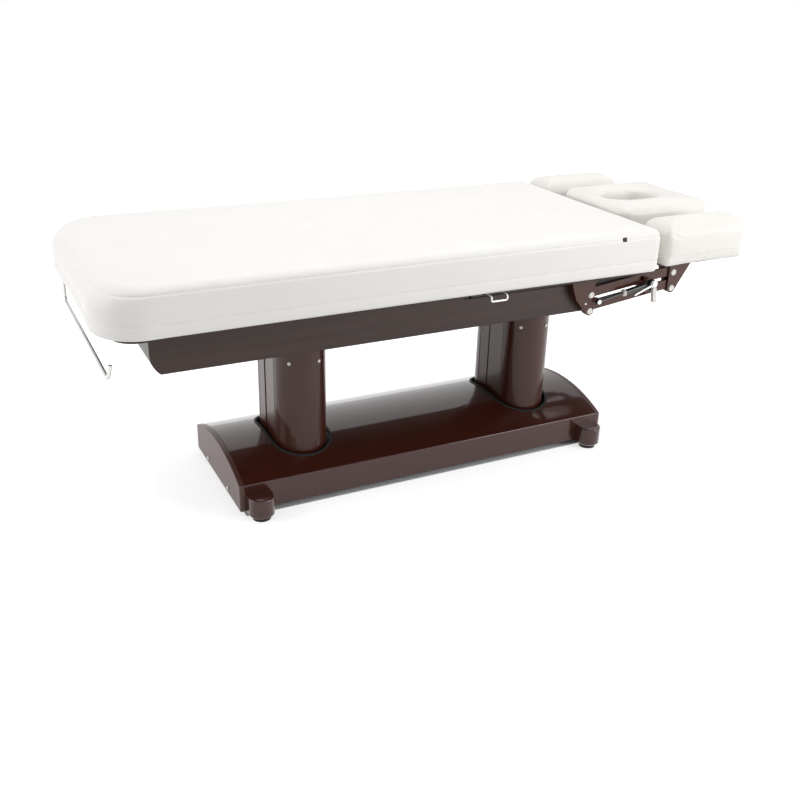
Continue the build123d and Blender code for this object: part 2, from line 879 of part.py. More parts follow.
def edge_inset(rise, height, bottom_round, top_round):
    """How far a cushion's side is drawn in at a height, by its lower and upper rounding."""
    below = max(0, 1 - rise / bottom_round)
    above = min(1, max(0, 1 - (height - rise) / top_round))
    return bottom_round * (1 - math.sqrt(1 - below ** 2)) + top_round * (1 - math.sqrt(1 - above ** 2))


def soft_profile(height, bottom_round, top_round, tail_round, crown, crown_reach, seams):
    """Heights of a cushion's sections with their insets at the sides and at the tail."""
    sines = [math.sin(math.radians(angle)) for angle in round_angles]
    levels = [(bottom_round * (1 - sine), 0) for sine in sines]
    levels += [(height - top_round * (1 - sine), 0) for sine in sines]
    for seam in seams:
        levels += [(seam - seam_half_width, 0), (seam, seam_depth), (seam + seam_half_width, 0)]
    if tail_round > top_round:
        levels += [(height - tail_round * (1 - share), 0) for share in tail_level_shares]
    profile = []
    for rise, depth in sorted(levels):
        side = depth + edge_inset(rise, height, bottom_round, top_round)
        tail = depth + edge_inset(rise, height, bottom_round, tail_round)
        profile.append((rise, side, tail))
    for share in crown_level_shares:
        bulge = crown * (1 - (1 - share) ** 2)
        profile.append((height + bulge, top_round + crown_reach * share, tail_round + crown_reach * share))
    return profile


def cushion(x, half_width, bottom, profile, radii, pull, offset_y=0):
    """Upholstered block through outlines that follow the profile."""
    sections = []
    for rise, inset, tail_inset in profile:
        span = (x[0] + tail_inset, x[1] - inset)
        half = half_width - inset
        corners = [max(radius - inset, least_corner) for radius in radii]
        sections.append(Pos(0, offset_y, bottom + rise) * plan_face(span, (half, half), corners, pull))
    return loft(sections, ruled=True)


def mattress():
    """The whole mattress in one piece, with its top running down over the tail end."""
    seams = (lower_seam_height, mattress_edge_height - upper_seam_drop)
    profile = soft_profile(mattress_edge_height, mattress_bottom_round, mattress_top_round, mattress_tail_round,
                           mattress_crown, crown_reach, seams)
    corners = (tail_corner, head_corner)
    return cushion((tail_x, mattress_head), side_y, mattress_bottom, profile, corners, side_pull)


def mattress_part(x):
    """Stretch of the mattress between two places along the bed."""
    return mattress() & block(x, (-bed_width, bed_width), (0, bed_length))


def seat_board():
    """Board under the fixed part of the mattress."""
    half = side_y - board_inset
    span = (tail_x + board_tail_inset, hinge_x - seat_gap)
    face = plan_face(span, (half, half), (board_corner, board_small_corner), 0)
    return upright(face, (deck, mattress_bottom))


def backrest_board():
    """Board under the hinged part of the mattress, with holes for the wire loop."""
    half = side_y - board_inset
    span = (hinge_x + backrest_gap, mattress_head - back_board_inset)
    face = plan_face(span, (half, half), (board_small_corner, board_small_corner), 0)
    return upright(face, (deck, mattress_bottom)) - wire_loop()


def wire_loop():
    """Wire staple that hangs from the near edge of the backrest board."""
    half = loop_width / 2
    middle = deck + board_thickness / 2
    edge = board_inset - side_y - loop_reach
    root = board_inset - side_y + loop_root
    low = middle - loop_drop
    left = [(loop_x - half, y, z) for y, z in ((root, middle), (edge, middle), (edge, low))]
    right = [(loop_x + half, y, z) for y, z in ((edge, low), (edge, middle), (root, middle))]
    path = FilletPolyline(*left, *right, radius=loop_bend)
    return sweep(Plane(origin=path @ 0, z_dir=path % 0) * Circle(loop_radius), path=path)


# Backrest frame

def horn_face():
    """Outline of a horn plate with its slot, which points from the hinge to the ram's pin."""
    turn = math.radians(horn_half_swing)
    direction = (-math.sin(turn), -math.cos(turn))
    near = horn_depth - horn_slot_spare
    far = horn_depth / math.cos(turn) + horn_slot_spare
    ends = [(hinge_x + direction[0] * reach, hinge_z + direction[1] * reach) for reach in (near, far)]
    slot_radius = ram_pin_radius + horn_slot_gap
    tube_x = (back_tube_places[0] - back_tube_width / 2, back_tube_places[0] + back_tube_width / 2)
    root_z = deck - back_rail_height
    root = Line((tube_x[0], root_z), (tube_x[1], root_z))
    rim = capsule(*ends, slot_radius + horn_rim)
    return make_hull(rim.edges() + root.edges()) - capsule(*ends, slot_radius)


def backrest_frame():
    """Welded frame of the backrest, with its knuckles, the slotted horn and a side plate beside the links."""
    height = (deck - back_rail_height, deck)
    half = back_rail_inner / 2
    rail = box_tube((back_frame_start, back_frame_end), (half, back_rail_outer), height, back_tube_wall, "x")
    knuckle_face = capsule((hinge_x, hinge_z), (hinge_x + knuckle_length, hinge_z), knuckle_radius)
    knuckle = side_plate(knuckle_face, (half - knuckle_thickness, half))
    horn_y = ram_eye_width / 2 + horn_gap
    horn = side_plate(horn_face(), (horn_y, horn_y + horn_thickness))
    start = beam_head + back_side_gap
    lip = Polyline((start, height[0]), (back_frame_end, height[0]), (back_frame_end, height[0] - back_side_end_drop),
                   (start, height[0] - back_side_drop), close=True)
    side = side_plate(make_face(lip), (back_rail_outer - back_side_plate, back_rail_outer))
    frame = both_sides(rail + side + knuckle + horn)
    for x in back_tube_places:
        width = (x - back_tube_width / 2, x + back_tube_width / 2)
        frame += box_tube(width, (-half, half), height, back_tube_wall, "y")
    return frame - cross_rod((hinge_x, hinge_z), (-bed_width, bed_width), hinge_pin_radius + running_fit)


# Head linkage

def mount_outline():
    """Outline of a mount plate: straight above, narrowing to a round tip about the lower pivot."""
    top = deck - mount_top_drop
    left = upper_pivot[0] - mount_tail
    right = upper_pivot[0] + mount_head
    top_edge = Polyline((right, top), (left, top), (left, top - mount_spacer_drop))
    knee = Line((left, top - mount_spacer_drop), (upper_pivot[0] - mount_knee_back, top - mount_knee_drop))
    tip = disc(lower_pivot, mount_tip_radius)
    return make_hull(top_edge.edges() + knee.edges() + tip.edges())


def pivot_bores(places, radius):
    """Tools for the bores of the link pins."""
    return sum_of(cross_rod(place, (-bed_width, bed_width), radius) for place in places)


def link_mounts():
    """Pair of plates on each side of the backrest, with the ear for the gas spring on the near side."""
    face = mount_outline()
    top = deck - mount_top_drop
    inner = side_plate(face, (mount_inner, mount_inner + mount_inner_thickness))
    outer = side_plate(face, (mount_outer, mount_face))
    spacer = block((upper_pivot[0] - mount_tail, upper_pivot[0] + mount_head),
                   (mount_inner + mount_inner_thickness, mount_outer), (top - mount_spacer_drop, top))
    mounts = both_sides(inner + outer + spacer)
    ear = capsule(spring_foot, (upper_pivot[0], spring_foot[1]), spring_ear_radius)
    mounts += side_plate(ear, (-mount_face, -mount_outer))
    mounts -= pivot_bores((upper_pivot, lower_pivot), link_pin_radius)
    return mounts - cross_rod(spring_foot, (-bed_width, 0), foot_stud_radius)


def link_pin(place):
    """Pin through a pair of plates, with a domed cap outside, on both sides of the bed."""
    shank = cross_rod(place, (mount_inner, mount_face), link_pin_radius)
    cap = cross_rod(place, (mount_face, mount_face + pin_cap_height), pin_cap_radius)
    cap = fillet(cap.faces().sort_by(Axis.Y)[-1].edges(), pin_cap_round)
    head = cross_rod(place, (mount_inner - pin_head_height, mount_inner), pin_head_radius)
    return both_sides(shank + cap + head)


def mount_pins():
    """Pins of the links on the backrest."""
    return link_pin(upper_pivot) + link_pin(lower_pivot)


def small_bolts(places):
    """Small rounded bolt heads on the outer plates."""
    bolts = []
    for place in places:
        bolt = cross_rod(place, (mount_face, mount_face + small_bolt_height), small_bolt_radius)
        bolts.append(both_sides(chamfer(bolt.faces().sort_by(Axis.Y)[-1].edges(), small_bolt_height / 2)))
    return sum_of(bolts)


def mount_bolts():
    """Bolt heads on the mount plates, in the middle of the plate and behind it."""
    middle = (lower_pivot[0] - mount_tip_radius - small_bolt_radius, (upper_pivot[1] + lower_pivot[1]) / 2)
    high = (upper_pivot[0] - mount_tail / 2, deck - mount_top_drop - mount_spacer_drop / 2)
    return small_bolts((middle, high))


def link_face(offset, reach):
    """Outline of a link: a bar offset from the line of its pivots, with round ends that drop to them."""
    start, end = (link_end_run, offset), (link_length - link_end_run, offset)
    bar = capsule(start, end, link_half_height)
    near = make_hull(disc((0, 0), link_end_radius).edges() + disc(start, link_half_height).edges())
    far = make_hull(disc((link_length, 0), link_end_radius).edges() + disc(end, link_half_height).edges())
    face = bar + near + far
    if reach:
        face += capsule((reach[0], offset), reach, link_ear_radius)
    return face


def placed_on_link(pivot, shape):
    """Puts an outline drawn along a link at its pivot and angle."""
    return Pos(*pivot) * Rot(0, 0, link_angle) * shape


def place_along(pivot, run, rise):
    """Point (x, z) at a distance along a link and above its line."""
    turn = math.radians(link_angle)
    return (pivot[0] + run * math.cos(turn) - rise * math.sin(turn),
            pivot[1] + run * math.sin(turn) + rise * math.cos(turn))


spring_head = place_along(upper_pivot, spring_head_run, -spring_head_drop)


def links(pivot, offset, tube_place, ear, far_gap):
    """Two links, near and far, with the round tube that joins them."""
    plain = placed_on_link(pivot, link_face(offset, None))
    near = placed_on_link(pivot, link_face(offset, ear))
    pair = side_plate(plain, (link_inner, link_outer)) + side_plate(near, (-link_outer, -link_inner))
    middle = place_along(pivot, tube_place, offset)
    pair += cross_rod(middle, (-link_inner, link_inner), link_tube_radius)
    pair -= cross_rod(middle, (-bed_width, bed_width), link_tube_bore)
    pair -= pivot_bores((pivot,), link_pin_radius + running_fit)
    pair -= pivot_bores((place_along(pivot, link_length, 0),), link_pin_radius + far_gap)
    return pair


def upper_links():
    """Upper links, with an ear for the gas spring on the near one."""
    ear = (spring_head_run, -spring_head_drop)
    pair = links(upper_pivot, upper_link_offset, upper_tube_place, ear, running_fit)
    return pair - cross_rod(spring_head, (-bed_width, 0), link_pin_radius)


def lower_links():
    """Lower links."""
    return links(lower_pivot, lower_link_offset, lower_tube_place, None, open_pivot_gap)


# Head carrier

def carrier_outline(tail):
    """Outline of a carrier plate: round about the lower pivot, widening upwards."""
    top = head_board_bottom - carrier_flange
    top_edge = Line((carrier_upper[0] - tail, top), (carrier_upper[0] + carrier_top_head, top))
    upper, lower = disc(carrier_upper, carrier_plate_radius), disc(carrier_lower, carrier_plate_radius)
    return make_hull(top_edge.edges() + upper.edges() + lower.edges())


def carrier_plates():
    """Plates of the head carrier on each side, joined by a flange under the boards."""
    top = head_board_bottom
    inner_width = (mount_inner, mount_inner + mount_inner_thickness)
    inner = side_plate(carrier_outline(carrier_inner_tail), inner_width)
    outer = side_plate(carrier_outline(carrier_top_tail), (mount_outer, mount_face))
    flange = block((carrier_upper[0] - carrier_inner_tail, carrier_upper[0] + carrier_top_head),
                   (carrier_rail_inner / 2 + carrier_rail_width, mount_face), (top - carrier_flange, top))
    return both_sides(inner + outer + flange) - pivot_bores((carrier_upper, carrier_lower), link_pin_radius)


def carrier_pins():
    """Pins of the links on the head carrier."""
    return link_pin(carrier_upper) + link_pin(carrier_lower)


def carrier_frame():
    """Welded frame under the head section."""
    height = (head_board_bottom - carrier_rail_width, head_board_bottom)
    half = carrier_rail_inner / 2
    rail = box_tube((carrier_rail_tail, carrier_rail_head), (half, half + carrier_rail_width), height,
                    back_tube_wall, "x")
    frame = both_sides(rail)
    width = carrier_rail_width
    for start in (carrier_rail_tail + carrier_tube_inset, carrier_rail_head - width):
        frame += box_tube((start, start + width), (-half, half), height, back_tube_wall, "y")
    return frame


def face_hole(grow, z, flare):
    """Tool for the face opening, wider at the top when it is flared."""
    x = (face_hole_start, face_hole_start + face_hole_length)
    half = face_hole_width / 2
    levels = [(z[0] - overrun, face_hole_neck), (z[1] - flare, face_hole_neck), (z[1] - face_hole_lip, 0),
              (z[1] + overrun, -face_hole_flare)]
    if not flare:
        levels = [(z[0] - overrun, face_hole_neck), (z[1] + overrun, face_hole_neck)]
    sections = []
    for level, inset in levels:
        shift = inset - grow
        corner = face_hole_corner - shift
        span = (x[0] + shift, x[1] - shift)
        sections.append(Pos(0, 0, level) * plan_face(span, (half - shift, half - shift), (corner, corner), 0))
    return loft(sections, ruled=True)


def head_boards():
    """Thin boards under the head cushion and the arm pads."""
    height = (head_board_bottom, pad_bottom)
    middle_half = head_pad_half - head_board_inset
    corners = (board_small_corner, board_small_corner)
    span = (head_board_tail, head_x - head_board_inset)
    middle = upright(plan_face(span, (middle_half, middle_half), corners, 0), height)
    middle -= face_hole(board_hole_gap, height, 0)
    inner = carrier_rail_inner / 2
    outer = side_y - board_inset
    half = (outer - inner) / 2
    arm_face = plan_face((head_board_tail, carrier_rail_head), (half, half), corners, 0)
    arm = upright(Pos(0, (inner + outer) / 2) * arm_face, height)
    return middle + both_sides(arm)


def arm_pad(side):
    """Arm pad beside the head cushion."""
    top_round = arm_pad_half * arm_pad_top_round_share
    profile = soft_profile(arm_pad_height, arm_pad_bottom_round, top_round, top_round, arm_pad_crown,
                           arm_pad_half * arm_crown_reach_share, (arm_seam_height,))
    return cushion((pad_start, pad_start + arm_pad_length), arm_pad_half, pad_bottom, profile,
                   (arm_pad_corner, arm_pad_corner), arm_pad_pull, side * (side_y - arm_pad_half))


def head_cushion():
    """Head cushion with its flared face opening."""
    profile = soft_profile(head_pad_height, arm_pad_bottom_round, head_pad_top_round, head_pad_top_round,
                           head_pad_crown, head_pad_crown_reach, (arm_seam_height,))
    body = cushion((pad_start, head_x), head_pad_half, pad_bottom, profile, (head_pad_corner, head_pad_corner),
                   arm_pad_pull)
    return body - face_hole(0, (pad_bottom, pad_bottom + head_pad_height), face_hole_flare_depth)


# Gas spring

def spring_turn():
    """Angle of the gas spring above level."""
    return math.degrees(math.atan2(spring_head[1] - spring_foot[1], spring_head[0] - spring_foot[0]))


def on_spring(shape):
    """Puts a piece drawn along X, with the foot of the spring at the origin, in its place."""
    return Pos(spring_foot[0], -spring_plane, spring_foot[1]) * Rot(0, -spring_turn(), 0) * shape


spring_length = math.hypot(spring_head[0] - spring_foot[0], spring_head[1] - spring_foot[1])


def spring_rod():
    """Rod of the gas spring with the eye at its foot."""
    half = spring_eye_width / 2
    eye = rod((0, -half, 0), (0, half, 0), spring_eye_radius)
    bar = rod((0, 0, 0), (spring_rod_length, 0, 0), spring_rod_radius)
    bore = rod((0, -spring_eye_width, 0), (0, spring_eye_width, 0), foot_stud_radius + running_fit)
    return on_spring(eye + bar - bore)


def spring_stud():
    """Stud on the mount plate that the foot of the gas spring turns on."""
    eye_inner = spring_plane - spring_eye_width / 2
    eye_outer = spring_plane + spring_eye_width / 2
    shank = cross_rod(spring_foot, (-eye_outer - stud_end, -mount_outer), foot_stud_radius)
    collar = cross_rod(spring_foot, (-eye_inner + glide_gap, -mount_face), foot_stud_radius + stud_collar)
    cap_width = (-eye_outer - stud_end, -eye_outer - glide_gap)
    cap = cross_rod(spring_foot, cap_width, foot_stud_radius + stud_collar)
    return shank + collar + cap


def spring_cylinder():
    """Cylinder of the gas spring with the eye at its head."""
    half = head_eye_width / 2
    body = rod((spring_cylinder_start, 0, 0), (spring_cylinder_end, 0, 0), spring_cylinder_radius)
    neck = block((spring_cylinder_end, spring_length), (-half, half), (-spring_neck / 2, spring_neck / 2))
    eye = rod((spring_length, -half, 0), (spring_length, half, 0), head_eye_radius)
    bore = rod((spring_cylinder_start, 0, 0), (spring_cylinder_start + spring_bore_depth, 0, 0),
               spring_rod_radius + spring_bore_gap)
    pin_bore = rod((spring_length, -head_eye_width, 0), (spring_length, head_eye_width, 0),
                   link_pin_radius + running_fit)
    return on_spring(body + neck + eye - bore - pin_bore)


def spring_cap():
    """Round cap at the mouth of the cylinder."""
    start = spring_cylinder_start - spring_cap_length
    cap = rod((start, 0, 0), (spring_cylinder_start, 0, 0), spring_cap_radius)
    cap = chamfer(cap.edges().filter_by(GeomType.CIRCLE), spring_cap_round)
    bore = rod((0, 0, 0), (spring_length, 0, 0), spring_rod_radius + spring_bore_gap)
    return on_spring(cap - bore)


def lever_plane():
    """Y of the inner face of the release lever, counted outwards."""
    return spring_plane + head_eye_width / 2 + glide_gap + lever_spacer + lever_gap


def link_stud():
    """Stud on the near upper link that carries the head of the gas spring and the release lever."""
    eye_inner = spring_plane - head_eye_width / 2
    eye_outer = spring_plane + head_eye_width / 2
    lever_outer = lever_plane() + lever_thickness
    end = lever_outer + glide_gap + stud_end
    wide = link_pin_radius + stud_collar
    stud = cross_rod(spring_head, (-end, -link_inner), link_pin_radius)
    stud += cross_rod(spring_head, (-eye_inner + glide_gap, -link_outer), wide)
    stud += cross_rod(spring_head, (-lever_plane() + glide_gap, -eye_outer - glide_gap), wide)
    return stud + cross_rod(spring_head, (-end, -lever_outer - glide_gap), wide)


def lever_grip_ends():
    """Start and end of the lever's grip, as (x, z)."""
    length = math.hypot(lever_down, lever_down_side)
    share = lever_grip_start / length
    start = (spring_head[0] + lever_down_side * share, spring_head[1] - lever_down * share)
    return start, (spring_head[0] + lever_down_side, spring_head[1] - lever_down)


def release_lever():
    """Flat lever of the gas spring: a hub, an arm that hangs down and a finger along the cylinder."""
    hub = disc(spring_head, lever_hub_radius)
    down = capsule(spring_head, lever_grip_ends()[1], lever_arm_radius)
    finger_end = (spring_head[0] - lever_back, spring_head[1] - lever_back_drop)
    finger = capsule(spring_head, finger_end, lever_tip_radius)
    plate = side_plate(hub + down + finger, (-lever_plane() - lever_thickness, -lever_plane()))
    return plate - cross_rod(spring_head, (-bed_width, 0), link_pin_radius + running_fit)


def lever_grip():
    """Plastic grip over the hanging arm of the lever."""
    middle = lever_plane() + lever_thickness / 2
    start, end = lever_grip_ends()
    half = grip_thickness / 2
    grip = side_plate(capsule(start, end, lever_grip_radius), (-middle - half, -middle + half))
    return grip - release_lever()


# Rod for a paper roll

def bar_path():
    """Centre line of the paper rod, from its socket down, across the bed and up at the tip."""
    height = deck - socket_height / 2
    return FilletPolyline((bar_socket_x + bar_socket_length, bar_y, height), (bar_drop_x, bar_y, height),
                          (bar_drop_x, bar_y, bar_low_z), (bar_drop_x, bar_end_y, bar_low_z),
                          (bar_drop_x + bar_tip_lean, bar_end_y, bar_low_z + bar_tip_height), radius=bar_bend)


def roll_bar():
    """Bent chrome rod for a paper roll."""
    path = bar_path()
    return sweep(Plane(origin=path @ 0, z_dir=path % 0) * Circle(bar_radius), path=path)


def clamp_place():
    """Middle of the clamp screw, as (x, z)."""
    return (bar_socket_x + bar_socket_length / 2, deck - socket_height / 2)


def roll_bar_socket():
    """Block under the seat board that holds the paper rod."""
    span = (bar_socket_x, bar_socket_x + bar_socket_length)
    socket = block(span, (bar_y - socket_width / 2, bar_y + socket_width / 2), (deck - socket_height, deck))
    middle = deck - socket_height / 2
    socket -= rod((bar_socket_x - overrun, bar_y, middle), (0, bar_y, middle), bar_radius)
    return socket - cross_rod(clamp_place(), (bar_y, bed_width), clamp_radius)


def roll_bar_clamp():
    """Screw with a round head that clamps the paper rod in its socket."""
    face = bar_y + socket_width / 2
    head = cross_rod(clamp_place(), (face, face + clamp_head_height), clamp_head_radius)
    return cross_rod(clamp_place(), (bar_y + bar_radius, face), clamp_radius) + head


# Every sub-part by name

def all_pieces():
    """Each piece under the name of its file."""
    pieces = {
        "base_cover": on_base(base_cover()),
        "panel_screws": on_base(panel_screws()),
        "opening_trims": on_base(opening_trims()),
        "base_frame": on_base(base_frame()),
        "foot_pads": on_base(foot_pads()),
        "control_box": on_base(control_box()),
        "mains_inlet": on_base(mains_inlet()),
        "fixed_columns": sum_of(fixed_column(x) for x in column_places),
        "fixed_glides": fixed_glides(),
        "lift_actuators": sum_of(lift_actuator(x) for x in column_places),
        "column_stages": column_stages(),
        "stage_glides": stage_glides(),
        "sleeve_screws": sleeve_screws(),
        "sleeve_glides": sleeve_glides(),
        "lift_rods": lift_rods(),
        "beam": beam(),
        "main_frame": main_frame(),
        "bearers": bearers(),
        "hinge_pins": hinge_pins(),
        "backrest_actuator": backrest_actuator(),
        "backrest_ram": backrest_ram(),
        "ram_pin": ram_pin(),
        "seat_board": seat_board(),
        "backrest_board": backrest_board(),
        "seat_cushion": mattress_part((tail_x - overrun, fold[0] - soft_gap / 2)),
        "fold_cushion": mattress_part((fold[0] + soft_gap / 2, fold[1] - soft_gap / 2)),
        "back_cushion": mattress_part((fold[1] + soft_gap / 2, mattress_head + overrun)),
        "wire_loop": wire_loop(),
        "backrest_frame": backrest_frame(),
        "link_mounts": link_mounts(),
        "mount_pins": mount_pins(),
        "mount_bolts": mount_bolts(),
        "upper_links": upper_links(),
        "lower_links": lower_links(),
        "carrier_plates": carrier_plates(),
        "carrier_pins": carrier_pins(),
        "carrier_frame": carrier_frame(),
        "head_boards": head_boards(),
        "arm_pad_near": arm_pad(-1),
        "arm_pad_far": arm_pad(1),
        "head_cushion": head_cushion(),
        "spring_stud": spring_stud(),
        "link_stud": link_stud(),
        "spring_rod": spring_rod(),
        "spring_cylinder": spring_cylinder(),
        "spring_cap": spring_cap(),
        "release_lever": release_lever(),
        "lever_grip": lever_grip(),
        "roll_bar": roll_bar(),
        "roll_bar_socket": roll_bar_socket(),
        "roll_bar_clamp": roll_bar_clamp(),
    }
    for name, x, end in zip(column_names, column_places, (-1, 1)):
        pieces["base_panel_" + name] = on_base(base_panel(end))
        pieces["column_sleeve_" + name] = column_sleeve(x)
        for side, side_name in ((-1, "near"), (1, "far")):
            pieces["foot_" + name + "_" + side_name] = on_base(foot(end, side))
    return pieces


os.makedirs("parts", exist_ok=True)
for piece_name, piece in all_pieces().items():
    export_step(piece, "parts/" + piece_name + ".step")
    print(piece_name, round(piece.volume))
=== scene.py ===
# %% [markdown]
# # A spa bed, dressed for its portrait
# The bed's rigid parts arrive as finished CAD solids: base, columns, beam, linkage and gas spring.
# This lesson gives them their real finishes and models the upholstery, which CAD only blocks out.
# Lengths are metres, X runs towards the head, Y away from the camera's side, and Z is up.

# %% Load the frame
import math
import bpy
import bmesh
from mathutils import Matrix, Vector, noise


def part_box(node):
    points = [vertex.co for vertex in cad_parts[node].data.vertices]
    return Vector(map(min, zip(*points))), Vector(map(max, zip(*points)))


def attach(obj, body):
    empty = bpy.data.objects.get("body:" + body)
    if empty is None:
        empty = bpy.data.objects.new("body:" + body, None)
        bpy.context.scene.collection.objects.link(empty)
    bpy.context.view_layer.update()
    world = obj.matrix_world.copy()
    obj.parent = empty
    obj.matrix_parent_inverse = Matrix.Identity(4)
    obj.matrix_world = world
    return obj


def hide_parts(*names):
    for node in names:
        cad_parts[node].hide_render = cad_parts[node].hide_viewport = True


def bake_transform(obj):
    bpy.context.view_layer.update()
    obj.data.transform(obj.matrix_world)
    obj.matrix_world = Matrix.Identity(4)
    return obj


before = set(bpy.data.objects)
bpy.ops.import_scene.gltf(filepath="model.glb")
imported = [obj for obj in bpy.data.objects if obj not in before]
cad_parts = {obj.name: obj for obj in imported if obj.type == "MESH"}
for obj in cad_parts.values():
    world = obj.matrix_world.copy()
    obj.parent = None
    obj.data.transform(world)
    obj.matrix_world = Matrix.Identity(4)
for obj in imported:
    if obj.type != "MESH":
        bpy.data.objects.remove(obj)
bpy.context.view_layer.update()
MM = 0.001

# %% [markdown]
# ## Colours and nodes
# Blender's shaders add up light, so they need linear colours, while the colours of paints are read and
# written as sRGB hex values. One function turns the one into the other.
# A material is a small graph. One helper adds a node, sets its fields and joins its inputs, so that each
# finish below reads as a short list of what it is made of.
# The mix node keeps sockets for numbers, vectors and colours side by side, so its colour sockets have high
# places, which get names here.

# %% Helpers for materials
MIX_LOW = 6
MIX_HIGH = 7
MIX_COLOUR = 2


def paint(hex_value):
    """Linear RGBA of an sRGB hex colour."""
    channels = [int(hex_value[i:i + 2], 16) / 255 for i in (1, 3, 5)]
    linear = [c / 12.92 if c <= 0.04045 else ((c + 0.055) / 1.055) ** 2.4 for c in channels]
    return (*linear, 1.0)


def add(material, kind, inputs=None, **settings):
    """Adds a node. An input is a constant, or a (node, output) pair to link."""
    tree = material.node_tree
    node = tree.nodes.new(kind)
    for key, value in settings.items():
        setattr(node, key, value)
    for key, value in (inputs or {}).items():
        if isinstance(value, tuple) and isinstance(value[0], bpy.types.Node):
            tree.links.new(value[0].outputs[value[1]], node.inputs[key])
        else:
            node.inputs[key].default_value = value
    return node


def new_finish(name, **sockets):
    """A material with its shader's constant sockets set, and the shader itself."""
    material = bpy.data.materials.new(name)
    material.use_nodes = True
    shader = material.node_tree.nodes["Principled BSDF"]
    for key, value in sockets.items():
        shader.inputs[key.replace("_", " ")].default_value = value
    return material, shader


def join(material, source, output, target, socket):
    """Links one node's output to another node's input."""
    material.node_tree.links.new(source.outputs[output], target.inputs[socket])


print("colour and node helpers ready")

# %% [markdown]
# ## Lacquer on the base, the columns and the linkage
# These are sheet steel with a stoved two-pack lacquer: a dark reddish brown under a clear gloss.
# Sprayed lacquer dries with a faint orange peel, some millimetres across, which breaks up long reflections.
# Pigment never lies quite even, so the colour drifts a little over hand-sized areas.
# The clear layer is the shader's coat, and the peel is a bump, so the silhouette stays crisp.

# %% Lacquer
PEEL = 4 * MM
PEEL_HEIGHT = 0.2 * MM
DRIFT = 140 * MM


def lacquer(name, low, high, gloss, clear):
    """Stoved lacquer between two shades, of a roughness, under a clear layer of a weight."""
    material, shader = new_finish(name, Roughness=gloss, IOR=1.5, Specular_IOR_Level=0.1, Coat_Weight=clear,
                                  Coat_Roughness=0.07)
    place = add(material, "ShaderNodeTexCoord")
    drift = add(material, "ShaderNodeTexNoise",
                {"Vector": (place, "Object"), "Scale": 1 / DRIFT, "Detail": 3.0})
    shade = add(material, "ShaderNodeMix",
                {0: (drift, "Fac"), MIX_LOW: paint(low), MIX_HIGH: paint(high)}, data_type="RGBA")
    peel = add(material, "ShaderNodeTexNoise",
               {"Vector": (place, "Object"), "Scale": 1 / PEEL, "Detail": 2.0})
    bump = add(material, "ShaderNodeBump",
               {"Height": (peel, "Fac"), "Strength": 0.08, "Distance": PEEL_HEIGHT})
    join(material, shade, MIX_COLOUR, shader, "Base Color")
    join(material, bump, "Normal", shader, "Normal")
    join(material, bump, "Normal", shader, "Coat Normal")
    return material


base_lacquer = lacquer("stoved_lacquer_base", "#38170f", "#431d14", 0.38, 1.0)
column_lacquer = lacquer("stoved_lacquer_columns", "#3b1b13", "#452219", 0.36, 0.6)
linkage_lacquer = lacquer("stoved_lacquer_linkage", "#42231a", "#4c291e", 0.4, 0.5)
print("lacquers made, orange peel", PEEL / MM, "mm")

# %% [markdown]
# ## Wenge foil on the beam
# The beam is board wrapped in a printed wood foil: a dark neutral brown with fine pores along the bed.
# Stretching a noise pattern along X turns round specks into pores. Real wenge pores are about a third of a
# millimetre wide, too fine for this picture, so they are drawn 1.5 mm wide. A wider noise with the same
# stretch gathers them into darker and lighter bands.

# %% Wenge foil
PORE = 1.5 * MM
PORE_STRETCH = 0.04
PORE_DEPTH = 0.15 * MM
FOIL_BAND = 24 * MM

beam_foil, foil_shader = new_finish("wenge_foil", Roughness=0.42, IOR=1.5, Specular_IOR_Level=0.3,
                                   Coat_Weight=0.15, Coat_Roughness=0.25)
foil_place = add(beam_foil, "ShaderNodeTexCoord")
foil_map = add(beam_foil, "ShaderNodeMapping",
               {"Vector": (foil_place, "Object"), "Scale": (PORE_STRETCH, 1, 1)})
foil_pores = add(beam_foil, "ShaderNodeTexNoise",
                 {"Vector": (foil_map, "Vector"), "Scale": 1 / PORE, "Detail": 4.0})
foil_bands = add(beam_foil, "ShaderNodeTexNoise",
                 {"Vector": (foil_map, "Vector"), "Scale": 1 / FOIL_BAND, "Detail": 2.0})
foil_mix = add(beam_foil, "ShaderNodeMath", {0: (foil_pores, "Fac"), 1: (foil_bands, "Fac")},
               operation="MULTIPLY")
foil_range = add(beam_foil, "ShaderNodeMapRange",
                 {"Value": (foil_mix, 0), "From Min": 0.12, "From Max": 0.42})
foil_shade = add(beam_foil, "ShaderNodeMix",
                 {0: (foil_range, "Result"), MIX_LOW: paint("#2b1b16"), MIX_HIGH: paint("#3a2720")},
                 data_type="RGBA")
foil_bump = add(beam_foil, "ShaderNodeBump",
                {"Height": (foil_pores, "Fac"), "Strength": 0.1, "Distance": PORE_DEPTH})
join(beam_foil, foil_shade, MIX_COLOUR, foil_shader, "Base Color")
join(beam_foil, foil_bump, "Normal", foil_shader, "Normal")
print("wenge foil, pores drawn", PORE / MM, "mm wide")

# %% [markdown]
# ## Coated upholstery fabric
# The mattress and pads wear polyurethane-coated fabric, embossed with a fine leather grain.
# A cell pattern gives the pebbles of the grain and a wider noise gives the soft hand-pressed waviness of
# foam under a stretched cover. The real grain is under a millimetre and is drawn at 1.6 mm.

# %% Upholstery
GRAIN = 1.6 * MM
GRAIN_DEPTH = 0.2 * MM
WAVE = 90 * MM
WAVE_DEPTH = 3 * MM


